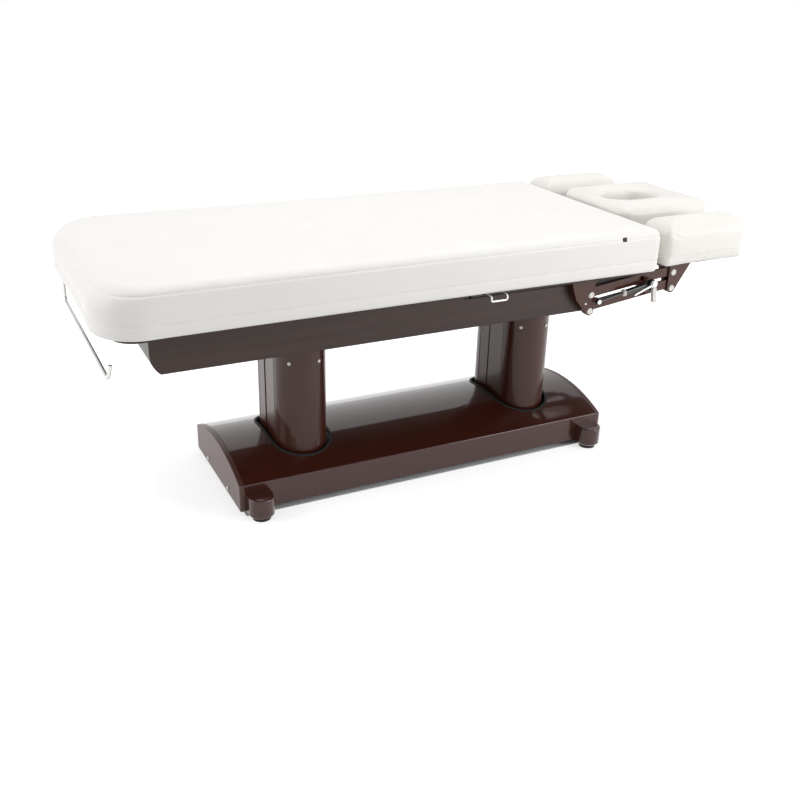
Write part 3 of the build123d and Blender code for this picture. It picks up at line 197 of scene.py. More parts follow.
def coated_fabric(name, low, high):
    """White coated fabric, pebbled, over soft foam."""
    material, shader = new_finish(name, Roughness=0.5, IOR=1.46, Coat_Weight=0.08, Coat_Roughness=0.3,
                                  Sheen_Weight=0.05)
    place = add(material, "ShaderNodeTexCoord")
    wave = add(material, "ShaderNodeTexNoise",
               {"Vector": (place, "Object"), "Scale": 1 / WAVE, "Detail": 2.0})
    shade = add(material, "ShaderNodeMix",
                {0: (wave, "Fac"), MIX_LOW: paint(low), MIX_HIGH: paint(high)}, data_type="RGBA")
    grain = add(material, "ShaderNodeTexVoronoi", {"Vector": (place, "Object"), "Scale": 1 / GRAIN},
                feature="SMOOTH_F1")
    press = add(material, "ShaderNodeBump",
                {"Height": (wave, "Fac"), "Strength": 0.25, "Distance": WAVE_DEPTH})
    pebble = add(material, "ShaderNodeBump", {"Height": (grain, "Distance"), "Strength": 0.12,
                                              "Distance": GRAIN_DEPTH, "Normal": (press, "Normal")})
    join(material, shade, MIX_COLOUR, shader, "Base Color")
    join(material, pebble, "Normal", shader, "Normal")
    return material


mattress_cover = coated_fabric("coated_fabric_white", "#ebe9e6", "#f1efec")
pad_cover = coated_fabric("coated_fabric_cream", "#e7e4df", "#edeae6")
print("upholstery, grain drawn", GRAIN / MM, "mm")

# %% [markdown]
# ## Metals and plastics
# Satin nickel and bright zinc are metals, so their colour is in the reflection and their IOR stays default.
# Plating is never quite even, so a noise a few millimetres wide changes the roughness of both.
# Caps, grips and glides are moulded plastic: ABS with a slight texture from the mould. The same kind of even
# texture, in other colours and depths, makes the rubber, the powder coat, the black oxide and the end panels'
# paint.

# %% Metals
def plated(name, tint, rough_low, rough_high, mark):
    """Plated steel whose roughness varies over marks of the given size."""
    material, shader = new_finish(name, Metallic=1.0)
    shader.inputs["Base Color"].default_value = paint(tint)
    place = add(material, "ShaderNodeTexCoord")
    marks = add(material, "ShaderNodeTexNoise",
                {"Vector": (place, "Object"), "Scale": 1 / mark, "Detail": 3.0})
    rough = add(material, "ShaderNodeMapRange",
                {"Value": (marks, "Fac"), "To Min": rough_low, "To Max": rough_high})
    join(material, rough, "Result", shader, "Roughness")
    return material


satin_nickel = plated("satin_nickel_plate", "#cccbc8", 0.24, 0.36, 4 * MM)
bright_zinc = plated("bright_zinc", "#c9c9c8", 0.18, 0.36, 2 * MM)
print("metals made")


# %% Plastics, powder coat and rubber
def moulded(name, low, high, roughness, texture, depth):
    """Moulded or coated surface with an even, fine texture."""
    material, shader = new_finish(name, Roughness=roughness, IOR=1.5)
    place = add(material, "ShaderNodeTexCoord")
    speck = add(material, "ShaderNodeTexNoise",
                {"Vector": (place, "Object"), "Scale": 1 / texture, "Detail": 2.0})
    shade = add(material, "ShaderNodeMix",
                {0: (speck, "Fac"), MIX_LOW: paint(low), MIX_HIGH: paint(high)}, data_type="RGBA")
    bump = add(material, "ShaderNodeBump", {"Height": (speck, "Fac"), "Strength": 0.2, "Distance": depth})
    join(material, shade, MIX_COLOUR, shader, "Base Color")
    join(material, bump, "Normal", shader, "Normal")
    return material


white_abs = moulded("white_abs_caps", "#dedad6", "#eae7e3", 0.3, 3 * MM, 0.05 * MM)
black_abs = moulded("black_abs", "#151414", "#201f1f", 0.5, 1.5 * MM, 0.1 * MM)
black_rubber = moulded("moulded_rubber", "#100f0f", "#1b1a19", 0.75, 2 * MM, 0.2 * MM)
powder_coat = moulded("powder_coat_frame", "#211d1c", "#2e2927", 0.48, 1.2 * MM, 0.1 * MM)
black_oxide = moulded("black_oxide_cylinder", "#0d0d0e", "#181818", 0.22, 6 * MM, 0.05 * MM)
panel_paint = moulded("painted_end_panel", "#4a302b", "#573a34", 0.34, 60 * MM, 0.1 * MM)
print("plastics and coats made")

# %% [markdown]
# ## Birch plywood, painted dark as shade
# The boards under the cushions show only from below and at their edges. Their colour is painted shade: dark,
# as the shadow under the mattress edge, so that no pale line shows under the white cover. The plies are bands
# in height, 1.5 mm each, and the face grain is a stretched noise.

# %% Plywood
PLY = 1.5 * MM
PLY_GRAIN = 3 * MM
PLY_STRETCH = 0.06

plywood, ply_shader = new_finish("birch_plywood_painted_dark_as_shade", Roughness=0.6, IOR=1.45)
ply_place = add(plywood, "ShaderNodeTexCoord")
ply_split = add(plywood, "ShaderNodeSeparateXYZ", {"Vector": (ply_place, "Object")})
ply_wave = add(plywood, "ShaderNodeMath", {0: (ply_split, "Z"), 1: math.pi / PLY}, operation="MULTIPLY")
ply_band = add(plywood, "ShaderNodeMath", {0: (ply_wave, 0)}, operation="SINE")
ply_grain_map = add(plywood, "ShaderNodeMapping",
                    {"Vector": (ply_place, "Object"), "Scale": (PLY_STRETCH, 1, 1)})
ply_grain = add(plywood, "ShaderNodeTexNoise",
                {"Vector": (ply_grain_map, "Vector"), "Scale": 1 / PLY_GRAIN, "Detail": 3.0})
ply_sum = add(plywood, "ShaderNodeMath", {0: (ply_band, 0), 1: (ply_grain, "Fac")}, operation="ADD")
ply_range = add(plywood, "ShaderNodeMapRange", {"Value": (ply_sum, 0), "From Min": -1.0, "From Max": 2.0})
# The plies and grain are the wood's own; their two dark colours are painted shade for the shadow under the
# mattress edge.
ply_shade = add(plywood, "ShaderNodeMix",
                {0: (ply_range, "Result"), MIX_LOW: paint("#1f1512"), MIX_HIGH: paint("#3a2a22")},
                data_type="RGBA")
join(plywood, ply_shade, MIX_COLOUR, ply_shader, "Base Color")
print("plywood, plies of", PLY / MM, "mm")

# %% [markdown]
# ## Dressing the CAD pieces
# Each CAD object keeps its mesh and gets a finish in its own material slots. A table of finish to pieces
# reads like a paint shop's order and leaves nothing out: a name that isn't listed stops the script.

# %% Finishes by piece
finishes = {
    base_lacquer: ["base_cover", "foot_tail_near", "foot_tail_far", "foot_head_near", "foot_head_far"],
    panel_paint: ["base_panel_tail", "base_panel_head"],
    column_lacquer: ["column_sleeve_tail", "column_sleeve_head", "column_stages", "fixed_columns"],
    linkage_lacquer: ["link_mounts", "upper_links", "lower_links", "carrier_plates"],
    powder_coat: ["base_frame", "main_frame", "bearers", "backrest_frame", "carrier_frame", "roll_bar_socket",
                  "backrest_actuator"],
    bright_zinc: ["lift_rods", "backrest_ram", "ram_pin", "hinge_pins", "mount_bolts", "spring_stud",
                  "link_stud", "release_lever", "roll_bar_clamp", "wire_loop"],
    satin_nickel: ["roll_bar"],
    black_oxide: ["spring_cylinder", "spring_rod", "lift_actuators"],
    white_abs: ["panel_screws", "sleeve_screws", "spring_cap", "lever_grip", "mount_pins", "carrier_pins"],
    black_abs: ["fixed_glides", "stage_glides", "sleeve_glides", "control_box", "mains_inlet"],
    black_rubber: ["foot_pads", "opening_trims"],
    beam_foil: ["beam"],
    plywood: ["seat_board", "backrest_board", "head_boards"],
}
SOFT_NODES = {"seat_cushion", "fold_cushion", "back_cushion", "arm_pad_near", "arm_pad_far", "head_cushion"}

dressed = set()
for finish, names in finishes.items():
    for name in names:
        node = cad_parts[name]
        node.data.materials.clear()
        node.data.materials.append(finish)
        dressed.add(name)
left_out = set(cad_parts) - dressed - SOFT_NODES
assert not left_out, left_out
print(len(dressed), "CAD pieces dressed")

# %% [markdown]
# ## How the upholstery is built
# A foam block under a tight cover is a stack of outlines: each ring of points is the plan outline, drawn in
# by an amount that follows the rounding of the edge. Joining ring to ring gives clean quads that bend well,
# which a boolean or a remesh would not. Each ring has the same number of points, counted side by side.
# The flat faces are closed by a patch: its points blend the four sides of the ring, so they are quads too.

# %% Outlines
def plan_outline(x, half, radii, pull, sides, corners):
    """Points round a rounded outline in plan, its sides drawn in at their middles, near side first."""
    tail, head = radii
    tail_points, head_points = corners
    arcs = [(x[0] + tail, -half + tail, tail, 180, tail_points),
            (x[1] - head, -half + head, head, 270, head_points),
            (x[1] - head, half - head, head, 0, head_points),
            (x[0] + tail, half - tail, tail, 90, tail_points)]
    bends = []
    for cx, cy, radius, start, count in arcs:
        turns = [math.radians(start + 90 * step / count) for step in range(count + 1)]
        bends.append([Vector((cx + radius * math.cos(t), cy + radius * math.sin(t))) for t in turns])
    inward = [Vector((0, pull)), Vector((-pull, 0)), Vector((0, -pull)), Vector((pull, 0))]
    points = []
    for index, bend in enumerate(bends):
        points += bend
        start, end = bend[-1], bends[(index + 1) % 4][0]
        for step in range(1, sides[index]):
            share = step / sides[index]
            points.append(start.lerp(end, share) + inward[index] * (4 * share * (1 - share)))
    return points


def four_sides(ring, sides, corners):
    """Splits a ring at the middles of its corners into near, head, far and tail sides."""
    tail_points, head_points = corners
    first = tail_points // 2
    lengths = [tail_points // 2 + sides[0] + head_points // 2, head_points + sides[1],
               head_points // 2 + sides[2] + tail_points // 2, tail_points + sides[3]]
    around = ring[first:] + ring[:first]
    around.append(around[0])
    cuts, at = [], 0
    for length in lengths:
        cuts.append(around[at:at + length + 1])
        at += length
    near, head, far, tail = cuts
    return near, head, far[::-1], tail[::-1]


print("outline helpers ready")


# %% Meshes from rings
def patch_points(near, head, far, tail, crown, reach):
    """Rows of points that close a ring, lifted into a crown whose slope fades over the reach."""
    rows = []
    columns, lines = len(near), len(head)
    low_y, high_y = near[columns // 2].y, far[columns // 2].y
    low_x, high_x = tail[lines // 2].x, head[lines // 2].x
    for j in range(lines):
        v = j / (lines - 1)
        row = []
        for i in range(columns):
            u = i / (columns - 1)
            point = near[i].lerp(far[i], v) + tail[j].lerp(head[j], u)
            point -= near[0].lerp(near[-1], u).lerp(far[0].lerp(far[-1], u), v)
            gap_x = min(point.x - low_x, high_x - point.x) / reach
            gap_y = min(point.y - low_y, high_y - point.y) / reach
            rise = 1.0
            for gap in (gap_x, gap_y):
                rise *= 1 - (1 - min(max(gap, 0), 1)) ** 2
            row.append(Vector((point.x, point.y, point.z + crown * rise)))
        rows.append(row)
    return rows


def cushion_mesh(rings, sides, corners, crown, reach):
    """Closed bmesh through rings, with a patch below and a crowned patch above."""
    mesh = bmesh.new()
    rows = [[mesh.verts.new(point) for point in ring] for ring in rings]
    for low, high in zip(rows, rows[1:]):
        for i in range(len(low)):
            j = (i + 1) % len(low)
            mesh.faces.new((low[i], low[j], high[j], high[i]))
    for row, ring, lift in ((rows[0], rings[0], 0.0), (rows[-1], rings[-1], crown)):
        verts = four_sides(row, sides, corners)
        patch = patch_points(*four_sides(ring, sides, corners), lift, reach)
        grid = [[mesh.verts.new(point) for point in line[1:-1]] for line in patch[1:-1]]
        near, head, far, tail = verts
        full = [near] + [[tail[k + 1]] + line + [head[k + 1]] for k, line in enumerate(grid)] + [far]
        for low, high in zip(full, full[1:]):
            for i in range(len(low) - 1):
                mesh.faces.new((low[i], low[i + 1], high[i + 1], high[i]))
    return mesh


def ring_mesh(rings):
    """Closed bmesh of rings that come back to the first, as a cushion with a hole does."""
    mesh = bmesh.new()
    rows = [[mesh.verts.new(point) for point in ring] for ring in rings]
    for low, high in zip(rows, rows[1:] + rows[:1]):
        for i in range(len(low)):
            j = (i + 1) % len(low)
            mesh.faces.new((low[i], low[j], high[j], high[i]))
    return mesh


def finish_mesh(name, mesh, material):
    """Turns a bmesh into a smooth-shaded object with a finish."""
    bmesh.ops.recalc_face_normals(mesh, faces=mesh.faces)
    data = bpy.data.meshes.new(name)
    mesh.to_mesh(data)
    mesh.free()
    for face in data.polygons:
        face.use_smooth = True
    data.materials.append(material)
    piece = bpy.data.objects.new(name, data)
    bpy.context.scene.collection.objects.link(piece)
    return piece


print("mesh helpers ready")

# %% [markdown]
# ## The profile of an edge
# Going up the side of a cushion: a small rounding below, the side, a wide soft rounding and then the crown.
# At its tail end the mattress has a much wider rounding, so each level has an inset for the sides and one for
# the tail. Levels are set close where the edge turns and around the seams, where the cover is drawn in.

# %% Profiles
SEAM_OFFSETS = (-6 * MM, -3 * MM, -1.2 * MM, 0.0, 1.2 * MM, 3 * MM, 6 * MM)
SEAM_ROOM = 7 * MM
SIDE_STEPS = 10
LEAST_STEP = 0.4 * MM
LEAST_CORNER = 4 * MM


def edge_inset(rise, height, bottom_round, top_round):
    """How far the side is drawn in at a height, by its lower and its upper rounding."""
    below = max(0.0, 1 - rise / bottom_round)
    above = min(1.0, max(0.0, 1 - (height - rise) / top_round))
    return bottom_round * (1 - math.sqrt(1 - below ** 2)) + top_round * (1 - math.sqrt(1 - above ** 2))


def edge_levels(height, bottom_round, top_round, tail_round, seams):
    """Heights of the rings, from the underside to the top of the edge."""
    levels = [bottom_round * (1 - math.cos(math.radians(a))) for a in range(0, 91, 18)]
    for reach, step in ((top_round, 9), (tail_round, 7)):
        levels += [height - reach * (1 - math.sin(math.radians(a))) for a in range(0, 90, step)] + [height]
    span = height - bottom_round - top_round
    levels += [bottom_round + span * k / SIDE_STEPS for k in range(1, SIDE_STEPS)]
    for seam in seams:
        levels = [level for level in levels if abs(level - seam) > SEAM_ROOM]
        levels += [seam + offset for offset in SEAM_OFFSETS]
    kept = []
    for level in sorted(levels):
        if not kept or level - kept[-1] > LEAST_STEP:
            kept.append(level)
    kept[-1] = height
    return kept


def soft_rings(x, half, bottom, levels, shape, radii, pull, sides, corners, middle_y):
    """Rings of a cushion, from its underside up. The shape holds height, bottom, top and tail rounding."""
    height, bottom_round, top_round, tail_round = shape
    rings = []
    for rise in levels:
        inset = edge_inset(rise, height, bottom_round, top_round)
        tail_inset = edge_inset(rise, height, bottom_round, tail_round)
        trimmed = [max(radius - inset, LEAST_CORNER) for radius in radii]
        span = (x[0] + tail_inset, x[1] - inset)
        outline = plan_outline(span, half - inset, trimmed, pull, sides, corners)
        rings.append([Vector((p.x, p.y + middle_y, bottom + rise)) for p in outline])
    return rings


print("profiles ready")

# %% [markdown]
# ## Filling the covers
# Foam presses a sewn cover outwards, most in the middle of each face and least along the edges. A short
# cloth simulation with pressure inside gives that, and a cap keeps it to the few millimetres of firm foam.
# The seams come afterwards, because stitches hold the cover in where the foam would push it out.

# %% Filling
FILL_PRESSURE = 4.0
FILL_FRAMES = 20
EVEN_ROUNDS = 6


def evened(moves, edges):
    """Moves averaged with their neighbours', so that no single point stands out."""
    for step in range(EVEN_ROUNDS):
        sums = [move.copy() for move in moves]
        counts = [1] * len(moves)
        for a, b in edges:
            sums[a] += moves[b]
            sums[b] += moves[a]
            counts[a] += 1
            counts[b] += 1
        moves = [total / count for total, count in zip(sums, counts)]
    return moves


def fill_cover(piece, cap):
    """Swells a closed cover by a short cloth simulation, each point by no more than the cap."""
    rest = [vertex.co.copy() for vertex in piece.data.vertices]
    cloth = piece.modifiers.new("fill", "CLOTH")
    cloth.settings.use_pressure = True
    cloth.settings.uniform_pressure_force = FILL_PRESSURE
    cloth.settings.effector_weights.gravity = 0.0
    cloth.point_cache.frame_end = FILL_FRAMES
    for step in range(1, FILL_FRAMES + 1):
        bpy.context.scene.frame_set(step)
    swollen = piece.evaluated_get(bpy.context.evaluated_depsgraph_get()).data.vertices
    moves = [after.co - before for after, before in zip(swollen, rest)]
    moves = [move * min(1.0, cap / max(move.length, 1e-9)) for move in moves]
    moves = evened(moves, [tuple(edge.vertices) for edge in piece.data.edges])
    piece.modifiers.remove(cloth)
    bpy.context.scene.frame_set(1)
    for vertex, before, move in zip(piece.data.vertices, rest, moves):
        vertex.co = before + move
    print(piece.name, "swelled by up to", round(max(move.length for move in moves) / MM, 1), "mm")


# %% [markdown]
# ## Seams and puckers
# A seam draws the cover in by about two millimetres, and stitching gathers it a little, so light catches
# short ripples beside each seam. A smooth noise that is the same in every run moves the points. Points on
# nearly level faces stay, because a seam runs round the sides.

# %% Seams
SEAM_WIDTH = 2.2 * MM
RIPPLE_REACH = 12 * MM
LEVEL_FACE = 0.3


def sew(piece, seams, depth, spacing, ripple):
    """Draws the cover in at the seams' heights and ripples it beside them."""
    piece.data.update()
    normals = [vertex.normal.copy() for vertex in piece.data.vertices]
    for vertex, normal in zip(piece.data.vertices, normals):
        point = vertex.co
        upright = math.hypot(normal.x, normal.y)
        if upright < LEVEL_FACE:
            continue
        gaps = [abs(point.z - seam) for seam in seams]
        draw = sum(depth * math.exp(-(gap / SEAM_WIDTH) ** 2) for gap in gaps)
        near = max(math.exp(-gap / RIPPLE_REACH) for gap in gaps)
        wave = noise.noise(Vector((point.x / spacing, point.y / spacing, point.z / (2 * spacing))))
        vertex.co = point - normal * upright * (draw - ripple * near * wave)


def smooth_piece(piece):
    """One subdivision, applied."""
    divide = piece.modifiers.new("smooth", "SUBSURF")
    divide.levels = 1
    divide.render_levels = 1
    shaped = bpy.data.meshes.new_from_object(piece.evaluated_get(bpy.context.evaluated_depsgraph_get()))
    piece.modifiers.clear()
    piece.data = shaped


print("seam helpers ready")

# %% [markdown]
# ## The mattress
# One piece of upholstery from the tail to the head section. The backrest hinge is under it, and the real foam
# bends there, over the stretch that CAD calls the fold cushion; this mesh is one fixed piece.
# At the tail the top runs down in one wide curve.

# %% Mattress
SLACK = 3 * MM
TAIL_OVERHANG = 7 * MM
seat_low, seat_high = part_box("seat_cushion")
back_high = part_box("back_cushion")[1]
MATTRESS_X = (seat_low[0] - TAIL_OVERHANG, back_high[0] - SLACK)
MATTRESS_HALF = seat_high[1] - SLACK
MATTRESS_BOTTOM = seat_low[2]
MATTRESS_CROWN = 6 * MM
MATTRESS_CROWN_REACH = 0.2
MATTRESS_HEIGHT = seat_high[2] - seat_low[2] - MATTRESS_CROWN - SLACK / 2
MATTRESS_SHAPE = (MATTRESS_HEIGHT, 12 * MM, 30 * MM, 68 * MM)
MATTRESS_CORNER_RADII = (120 * MM, 22 * MM)
MATTRESS_PULL = 4 * MM
MATTRESS_FILL = 5 * MM
MATTRESS_SEAMS = (35 * MM, 108 * MM)
MATTRESS_STITCH = {"depth": 2.4 * MM, "spacing": 34 * MM, "ripple": 1.6 * MM}
MATTRESS_SIDES = (98, 40, 98, 36)
MATTRESS_CORNERS = (12, 8)

mattress_levels = edge_levels(*MATTRESS_SHAPE, MATTRESS_SEAMS)
mattress_rings = soft_rings(MATTRESS_X, MATTRESS_HALF, MATTRESS_BOTTOM, mattress_levels, MATTRESS_SHAPE,
                            MATTRESS_CORNER_RADII, MATTRESS_PULL, MATTRESS_SIDES, MATTRESS_CORNERS, 0)
mattress_shell = cushion_mesh(mattress_rings, MATTRESS_SIDES, MATTRESS_CORNERS, MATTRESS_CROWN,
                              MATTRESS_CROWN_REACH)
mattress = finish_mesh("mattress", mattress_shell, mattress_cover)
fill_cover(mattress, MATTRESS_FILL)
sew(mattress, [MATTRESS_BOTTOM + seam for seam in MATTRESS_SEAMS], **MATTRESS_STITCH)
smooth_piece(mattress)
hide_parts("seat_cushion", "fold_cushion", "back_cushion")
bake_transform(mattress)
print("mattress", len(mattress.data.vertices), "points")

# %% [markdown]
# ## Arm pads
# Two firm pads of the same cover, a shade creamier, beside the head cushion. Their tops are domed, and at the
# corner by the mattress the cover has a short crease, where it is folded under and stapled.

# %% Arm pads
PAD_SEAM = 30 * MM
PAD_STITCH = {"depth": 1.8 * MM, "spacing": 24 * MM, "ripple": 1.2 * MM}
PAD_BOTTOM_ROUND = 8 * MM
PAD_DOME = 0.7
PAD_CROWN = 4 * MM
PAD_CROWN_REACH = 0.02
PAD_CORNER_RADII = (14 * MM, 14 * MM)
PAD_PULL = 2 * MM
PAD_FILL = 5 * MM
PAD_SIDES = (30, 8, 30, 8)
PAD_CORNERS = (6, 6)
CREASE_REACH = 5 * MM
CREASE_DEPTH = 2.2 * MM
CREASE_FADE = 0.2
CREASE_START = (4 * MM, 34 * MM)
CREASE_END = (52 * MM, 50 * MM)


def crease(piece, start, end):
    """Presses a short crease into a cover between two points, fading a little past its ends."""
    start, end = Vector(start), Vector(end)
    run = end - start
    for vertex in piece.data.vertices:
        share = (vertex.co - start).dot(run) / run.length_squared
        if -CREASE_FADE < share < 1 + CREASE_FADE:
            gap = (vertex.co - start - run * share).length
            fade = max(0.0, 1 - ((2 * share - 1) / (1 + 2 * CREASE_FADE)) ** 2)
            vertex.co -= vertex.normal * (CREASE_DEPTH * fade * math.exp(-(gap / CREASE_REACH) ** 2))


def arm_pad(name, side):
    """One arm pad, in the space of its CAD solid."""
    low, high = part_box(name)
    low, high = Vector(low) + Vector((SLACK, SLACK, 0)), Vector(high) - Vector((0, SLACK, SLACK))
    half = (high.y - low.y) / 2
    shape = (high.z - low.z - PAD_CROWN, PAD_BOTTOM_ROUND, PAD_DOME * half, PAD_DOME * half)
    levels = edge_levels(*shape, (PAD_SEAM,))
    rings = soft_rings((low.x, high.x), half, low.z, levels, shape, PAD_CORNER_RADII, PAD_PULL, PAD_SIDES,
                       PAD_CORNERS, (low.y + high.y) / 2)
    mesh = cushion_mesh(rings, PAD_SIDES, PAD_CORNERS, PAD_CROWN, PAD_CROWN_REACH)
    pad = finish_mesh(name + "_upholstery", mesh, pad_cover)
    fill_cover(pad, PAD_FILL)
    sew(pad, [low.z + PAD_SEAM], **PAD_STITCH)
    smooth_piece(pad)
    outer = high.y if side > 0 else low.y
    crease(pad, (low.x + CREASE_START[0], outer, high.z - CREASE_START[1]),
           (low.x + CREASE_END[0], outer, high.z - CREASE_END[1]))
    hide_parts(name)
    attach(pad, "head_carrier")


for pad_name, pad_side in (("arm_pad_near", -1), ("arm_pad_far", 1)):
    arm_pad(pad_name, pad_side)
print("arm pads made")

# %% [markdown]
# ## Head cushion
# It has a hole for the face, so its rings don't end in a patch: from the crown they turn down through the
# hole and come back along the underside to the first ring, so that the mesh closes on itself.

# %% Head cushion
head_low, head_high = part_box("head_cushion")
HEAD_CROWN = 3 * MM
HEAD_HEIGHT = head_high[2] - head_low[2] - HEAD_CROWN - SLACK
HEAD_SHAPE = (HEAD_HEIGHT, PAD_BOTTOM_ROUND, 28 * MM, 28 * MM)
HEAD_HALF = head_high[1] - SLACK
HEAD_CORNER_RADII = (34 * MM, 34 * MM)
HEAD_FILL = 4 * MM
HEAD_SIDES = (28, 24, 28, 24)
HEAD_CORNERS = (8, 8)
HOLE_X = (head_low[0] + 53 * MM, head_low[0] + 248 * MM)
HOLE_HALF = 70 * MM
HOLE_CORNER = 62 * MM
HOLE_LIP = 20 * MM
HOLE_NECK = 4 * MM
HOLE_WALL = 6 * MM
HOLE_FOOT = 2 * MM
HOLE_SHARES = (0.15, 0.3, 0.45, 0.6, 0.75, 0.9)
LAST_WALL_SHARE = 0.97
UNDERSIDE_SHARES = (0.2, 0.4, 0.6, 0.8)

head_levels = edge_levels(*HEAD_SHAPE, (PAD_SEAM,))
head_span = (head_low[0] + SLACK, head_high[0] - SLACK)
head_rings = soft_rings(head_span, HEAD_HALF, head_low[2], head_levels, HEAD_SHAPE, HEAD_CORNER_RADII,
                        PAD_PULL, HEAD_SIDES, HEAD_CORNERS, 0)


def hole_ring(grow, height):
    """One ring of the face hole, grown by an amount, at a height over the cushion's underside."""
    span = (HOLE_X[0] - grow, HOLE_X[1] + grow)
    corner = HOLE_CORNER + grow
    outline = plan_outline(span, HOLE_HALF + grow, (corner, corner), 0, HEAD_SIDES, HEAD_CORNERS)
    return [Vector((p.x, p.y, head_low[2] + height)) for p in outline]


def between(outer, inner, shares, lift):
    """Rings between two rings, lifted in the middle of the way."""
    rings = []
    for share in shares:
        rise = Vector((0, 0, lift * math.sin(math.pi * share)))
        rings.append([a.lerp(b, share) + rise for a, b in zip(outer, inner)])
    return rings


head_rings += between(head_rings[-1], hole_ring(HOLE_LIP, HEAD_HEIGHT), HOLE_SHARES, HEAD_CROWN)
for angle in range(0, 91, 15):
    lean = math.radians(angle)
    head_rings.append(hole_ring(HOLE_LIP * (1 - math.sin(lean)) - HOLE_NECK * math.sin(lean),
                                HEAD_HEIGHT - HOLE_LIP * (1 - math.cos(lean))))
for share in (*HOLE_SHARES, LAST_WALL_SHARE):
    head_rings.append(hole_ring(-HOLE_WALL, (HEAD_HEIGHT - HOLE_LIP) * (1 - share)))
head_rings.append(hole_ring(-HOLE_FOOT, 0))
head_rings += between(head_rings[-1], head_rings[0], UNDERSIDE_SHARES, 0)
head_cushion = finish_mesh("head_cushion_upholstery", ring_mesh(head_rings), pad_cover)
fill_cover(head_cushion, HEAD_FILL)
sew(head_cushion, [head_low[2] + PAD_SEAM], **PAD_STITCH)
smooth_piece(head_cushion)
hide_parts("head_cushion")
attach(head_cushion, "head_carrier")
print("head cushion", len(head_cushion.data.vertices), "points")

# %% [markdown]
# ## A bare tag
# A small dark woven tag is sewn to the side of the mattress near the head. It is left blank: a raised hem
# round a plain field. The side isn't flat there, so a ray onto the mattress finds each point of the tag.

# %% Tag
TAG_MIDDLE = (0.484, 0.7285)
TAG_SIZE = (15 * MM, 12 * MM)
TAG_PROUD = 0.8 * MM
TAG_HEM = 2.2 * MM
TAG_FIELD = 0.6
TAG_EDGE = 0.1 * MM
TAG_CELLS = (12, 10)
RAY_GAP = 0.1

tag_cloth = moulded("woven_tag", "#1c1a1b", "#2b2829", 0.7, 1.0 * MM, 0.1 * MM)
tag_mesh = bmesh.new()
tag_rows = []
bpy.context.view_layer.update()
for j in range(TAG_CELLS[1] + 1):
    row = []
    for i in range(TAG_CELLS[0] + 1):
        across = (i / TAG_CELLS[0] - 0.5) * TAG_SIZE[0]
        upward = (j / TAG_CELLS[1] - 0.5) * TAG_SIZE[1]
        start = Vector((TAG_MIDDLE[0] + across, -MATTRESS_HALF - RAY_GAP, TAG_MIDDLE[1] + upward))
        hit, place, normal, _ = mattress.ray_cast(start, Vector((0, 1, 0)))
        assert hit, start
        rim = min(TAG_SIZE[0] / 2 - abs(across), TAG_SIZE[1] / 2 - abs(upward))
        lift = 0.0 if rim < TAG_EDGE else TAG_PROUD * (1.0 if rim < TAG_HEM else TAG_FIELD)
        row.append(tag_mesh.verts.new(place + normal * lift))
    tag_rows.append(row)
for low, high in zip(tag_rows, tag_rows[1:]):
    for i in range(TAG_CELLS[0]):
        tag_mesh.faces.new((low[i], low[i + 1], high[i + 1], high[i]))
tag = finish_mesh("side_tag", tag_mesh, tag_cloth)
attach(tag, "backrest")
print("tag made")

# %% [markdown]
# ## Camera
# The place and aim were solved from the photograph's straight edges: the bed is seen from its tail, on the
# side with the gas spring, from a little under one and a half metres up. The picture is square.

# %% Camera
CAMERA_PLACE = Vector((-1.2903, -2.4703, 1.4299))
CAMERA_YAW = math.radians(26.97)
CAMERA_PITCH = math.radians(24.53)
CAMERA_ROLL = math.radians(1.6)
FOCAL_PIXELS = 957.8
IMAGE_PIXELS = 800
SENSOR_MM = 36.0

camera_data = bpy.data.cameras.new("portrait_camera")
camera_data.sensor_fit = "HORIZONTAL"
camera_data.sensor_width = SENSOR_MM
camera_data.lens = FOCAL_PIXELS * SENSOR_MM / IMAGE_PIXELS
camera = bpy.data.objects.new("portrait_camera", camera_data)
turn = Matrix.Rotation(-CAMERA_YAW, 4, "Z") @ Matrix.Rotation(math.pi / 2 - CAMERA_PITCH, 4, "X")
camera.matrix_world = Matrix.Translation(CAMERA_PLACE) @ turn @ Matrix.Rotation(CAMERA_ROLL, 4, "Z")
bpy.context.scene.collection.objects.link(camera)
bpy.context.scene.camera = camera
print("camera lens", round(camera_data.lens, 2), "mm")

# %% [markdown]
# ## Studio
# A white sweep. The floor takes the object's soft shadow from the lamps, and for the camera and in
# reflections it also glows, partly near the object and fully further out, so that it ends in clean white.
# Under the base it doesn't glow, so the openings round the columns stay dark.
# The lamps are three large soft boxes: one above, one beyond the tail and one at the head, which is
# brighter, because the long side of the mattress gains light towards the head. The world lights the bed only
# dimly, but the camera and reflections see it white.

# %% Floor
FLOOR_SIZE = 60.0
GLOW_NEAR = 0.6
GLOW_REACH = (1.3, 3.2)
GLOW_EDGE = 2 * MM

floor_mesh = bpy.data.meshes.new("studio_floor")
corner = FLOOR_SIZE / 2
floor_corners = [(-corner, -corner, 0), (corner, -corner, 0), (corner, corner, 0), (-corner, corner, 0)]
floor_mesh.from_pydata(floor_corners, [], [(0, 1, 2, 3)])
floor = bpy.data.objects.new("studio_floor", floor_mesh)
bpy.context.scene.collection.objects.link(floor)
floor_paint, floor_shader = new_finish("white_sweep", Roughness=0.9)
floor_shader.inputs["Base Color"].default_value = paint("#e8e8e8")
floor_shader.inputs["Emission Color"].default_value = (1, 1, 1, 1)


def direct_rays(material):
    """One where a ray comes from the camera, a reflection or a clear piece, else nought."""
    ray = add(material, "ShaderNodeLightPath")
    seen = add(material, "ShaderNodeMath", {0: (ray, "Is Camera Ray"), 1: (ray, "Is Glossy Ray")},
               operation="MAXIMUM")
    return add(material, "ShaderNodeMath", {0: (seen, 0), 1: (ray, "Is Transmission Ray")},
               operation="MAXIMUM")


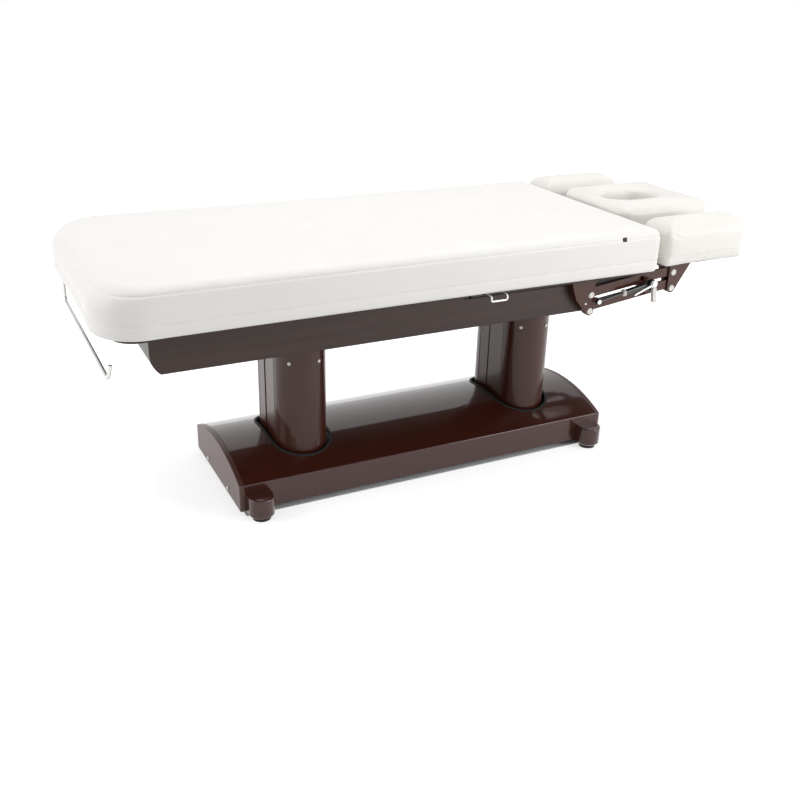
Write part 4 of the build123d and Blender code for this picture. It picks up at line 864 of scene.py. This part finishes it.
floor_place = add(floor_paint, "ShaderNodeTexCoord")
floor_far = add(floor_paint, "ShaderNodeVectorMath", {0: (floor_place, "Object")}, operation="LENGTH")
floor_glow = add(floor_paint, "ShaderNodeMapRange",
                 {"Value": (floor_far, "Value"), "From Min": GLOW_REACH[0], "From Max": GLOW_REACH[1],
                  "To Min": GLOW_NEAR, "To Max": 1.0})
floor_light = add(floor_paint, "ShaderNodeMath",
                  {0: (floor_glow, "Result"), 1: (direct_rays(floor_paint), 0)}, operation="MULTIPLY")

base_low, base_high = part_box("base_cover")
UNDER_BASE = ((base_high[0] - base_low[0]) / 2 - GLOW_EDGE, base_high[1] - GLOW_EDGE)
base_middle = ((base_low[0] + base_high[0]) / 2, 0, 0)
floor_shift = add(floor_paint, "ShaderNodeVectorMath", {0: (floor_place, "Object"), 1: base_middle},
                  operation="SUBTRACT")
floor_apart = add(floor_paint, "ShaderNodeVectorMath", {0: (floor_shift, "Vector")}, operation="ABSOLUTE")
floor_sides = add(floor_paint, "ShaderNodeSeparateXYZ", {"Vector": (floor_apart, "Vector")})
past_ends = add(floor_paint, "ShaderNodeMath", {0: (floor_sides, "X"), 1: UNDER_BASE[0]},
                operation="GREATER_THAN")
past_sides = add(floor_paint, "ShaderNodeMath", {0: (floor_sides, "Y"), 1: UNDER_BASE[1]},
                 operation="GREATER_THAN")
open_floor = add(floor_paint, "ShaderNodeMath", {0: (past_ends, 0), 1: (past_sides, 0)},
                 operation="MAXIMUM")
floor_shown = add(floor_paint, "ShaderNodeMath", {0: (floor_light, 0), 1: (open_floor, 0)},
                  operation="MULTIPLY")
join(floor_paint, floor_shown, 0, floor_shader, "Emission Strength")
floor_mesh.materials.append(floor_paint)
print("floor", FLOOR_SIZE, "m across")


# %% Lamps and world
def lamp(name, place, aim, size, power):
    """A large square area lamp turned to a point."""
    data = bpy.data.lights.new(name, "AREA")
    data.size = size
    data.energy = power
    light = bpy.data.objects.new(name, data)
    light.location = place
    light.rotation_euler = (Vector(aim) - Vector(place)).to_track_quat("-Z", "Y").to_euler()
    bpy.context.scene.collection.objects.link(light)


lamp("top_box", (0.1, 0.1, 3.2), (0, 0, 0.5), 3.0, 50)
lamp("tail_box", (-3.6, 0.2, 1.7), (-0.4, 0, 0.5), 2.0, 38)
lamp("head_box", (2.7, -2.9, 1.5), (0.6, 0, 0.6), 2.0, 66)

WORLD_LIGHT = 0.42
world = bpy.data.worlds.new("white_room")
bpy.context.scene.world = world
world.use_nodes = True
sky = world.node_tree.nodes["Background"]
sky.inputs["Color"].default_value = (1, 1, 1, 1)
sky.inputs["Strength"].default_value = WORLD_LIGHT
seen_white = add(world, "ShaderNodeBackground", {"Color": (1, 1, 1, 1), "Strength": 1.0})
pick = add(world, "ShaderNodeMixShader", {0: (direct_rays(world), 0), 1: (sky, 0), 2: (seen_white, 0)})
join(world, pick, 0, world.node_tree.nodes["World Output"], "Surface")
bpy.context.scene.view_settings.view_transform = "Standard"
print("studio ready")
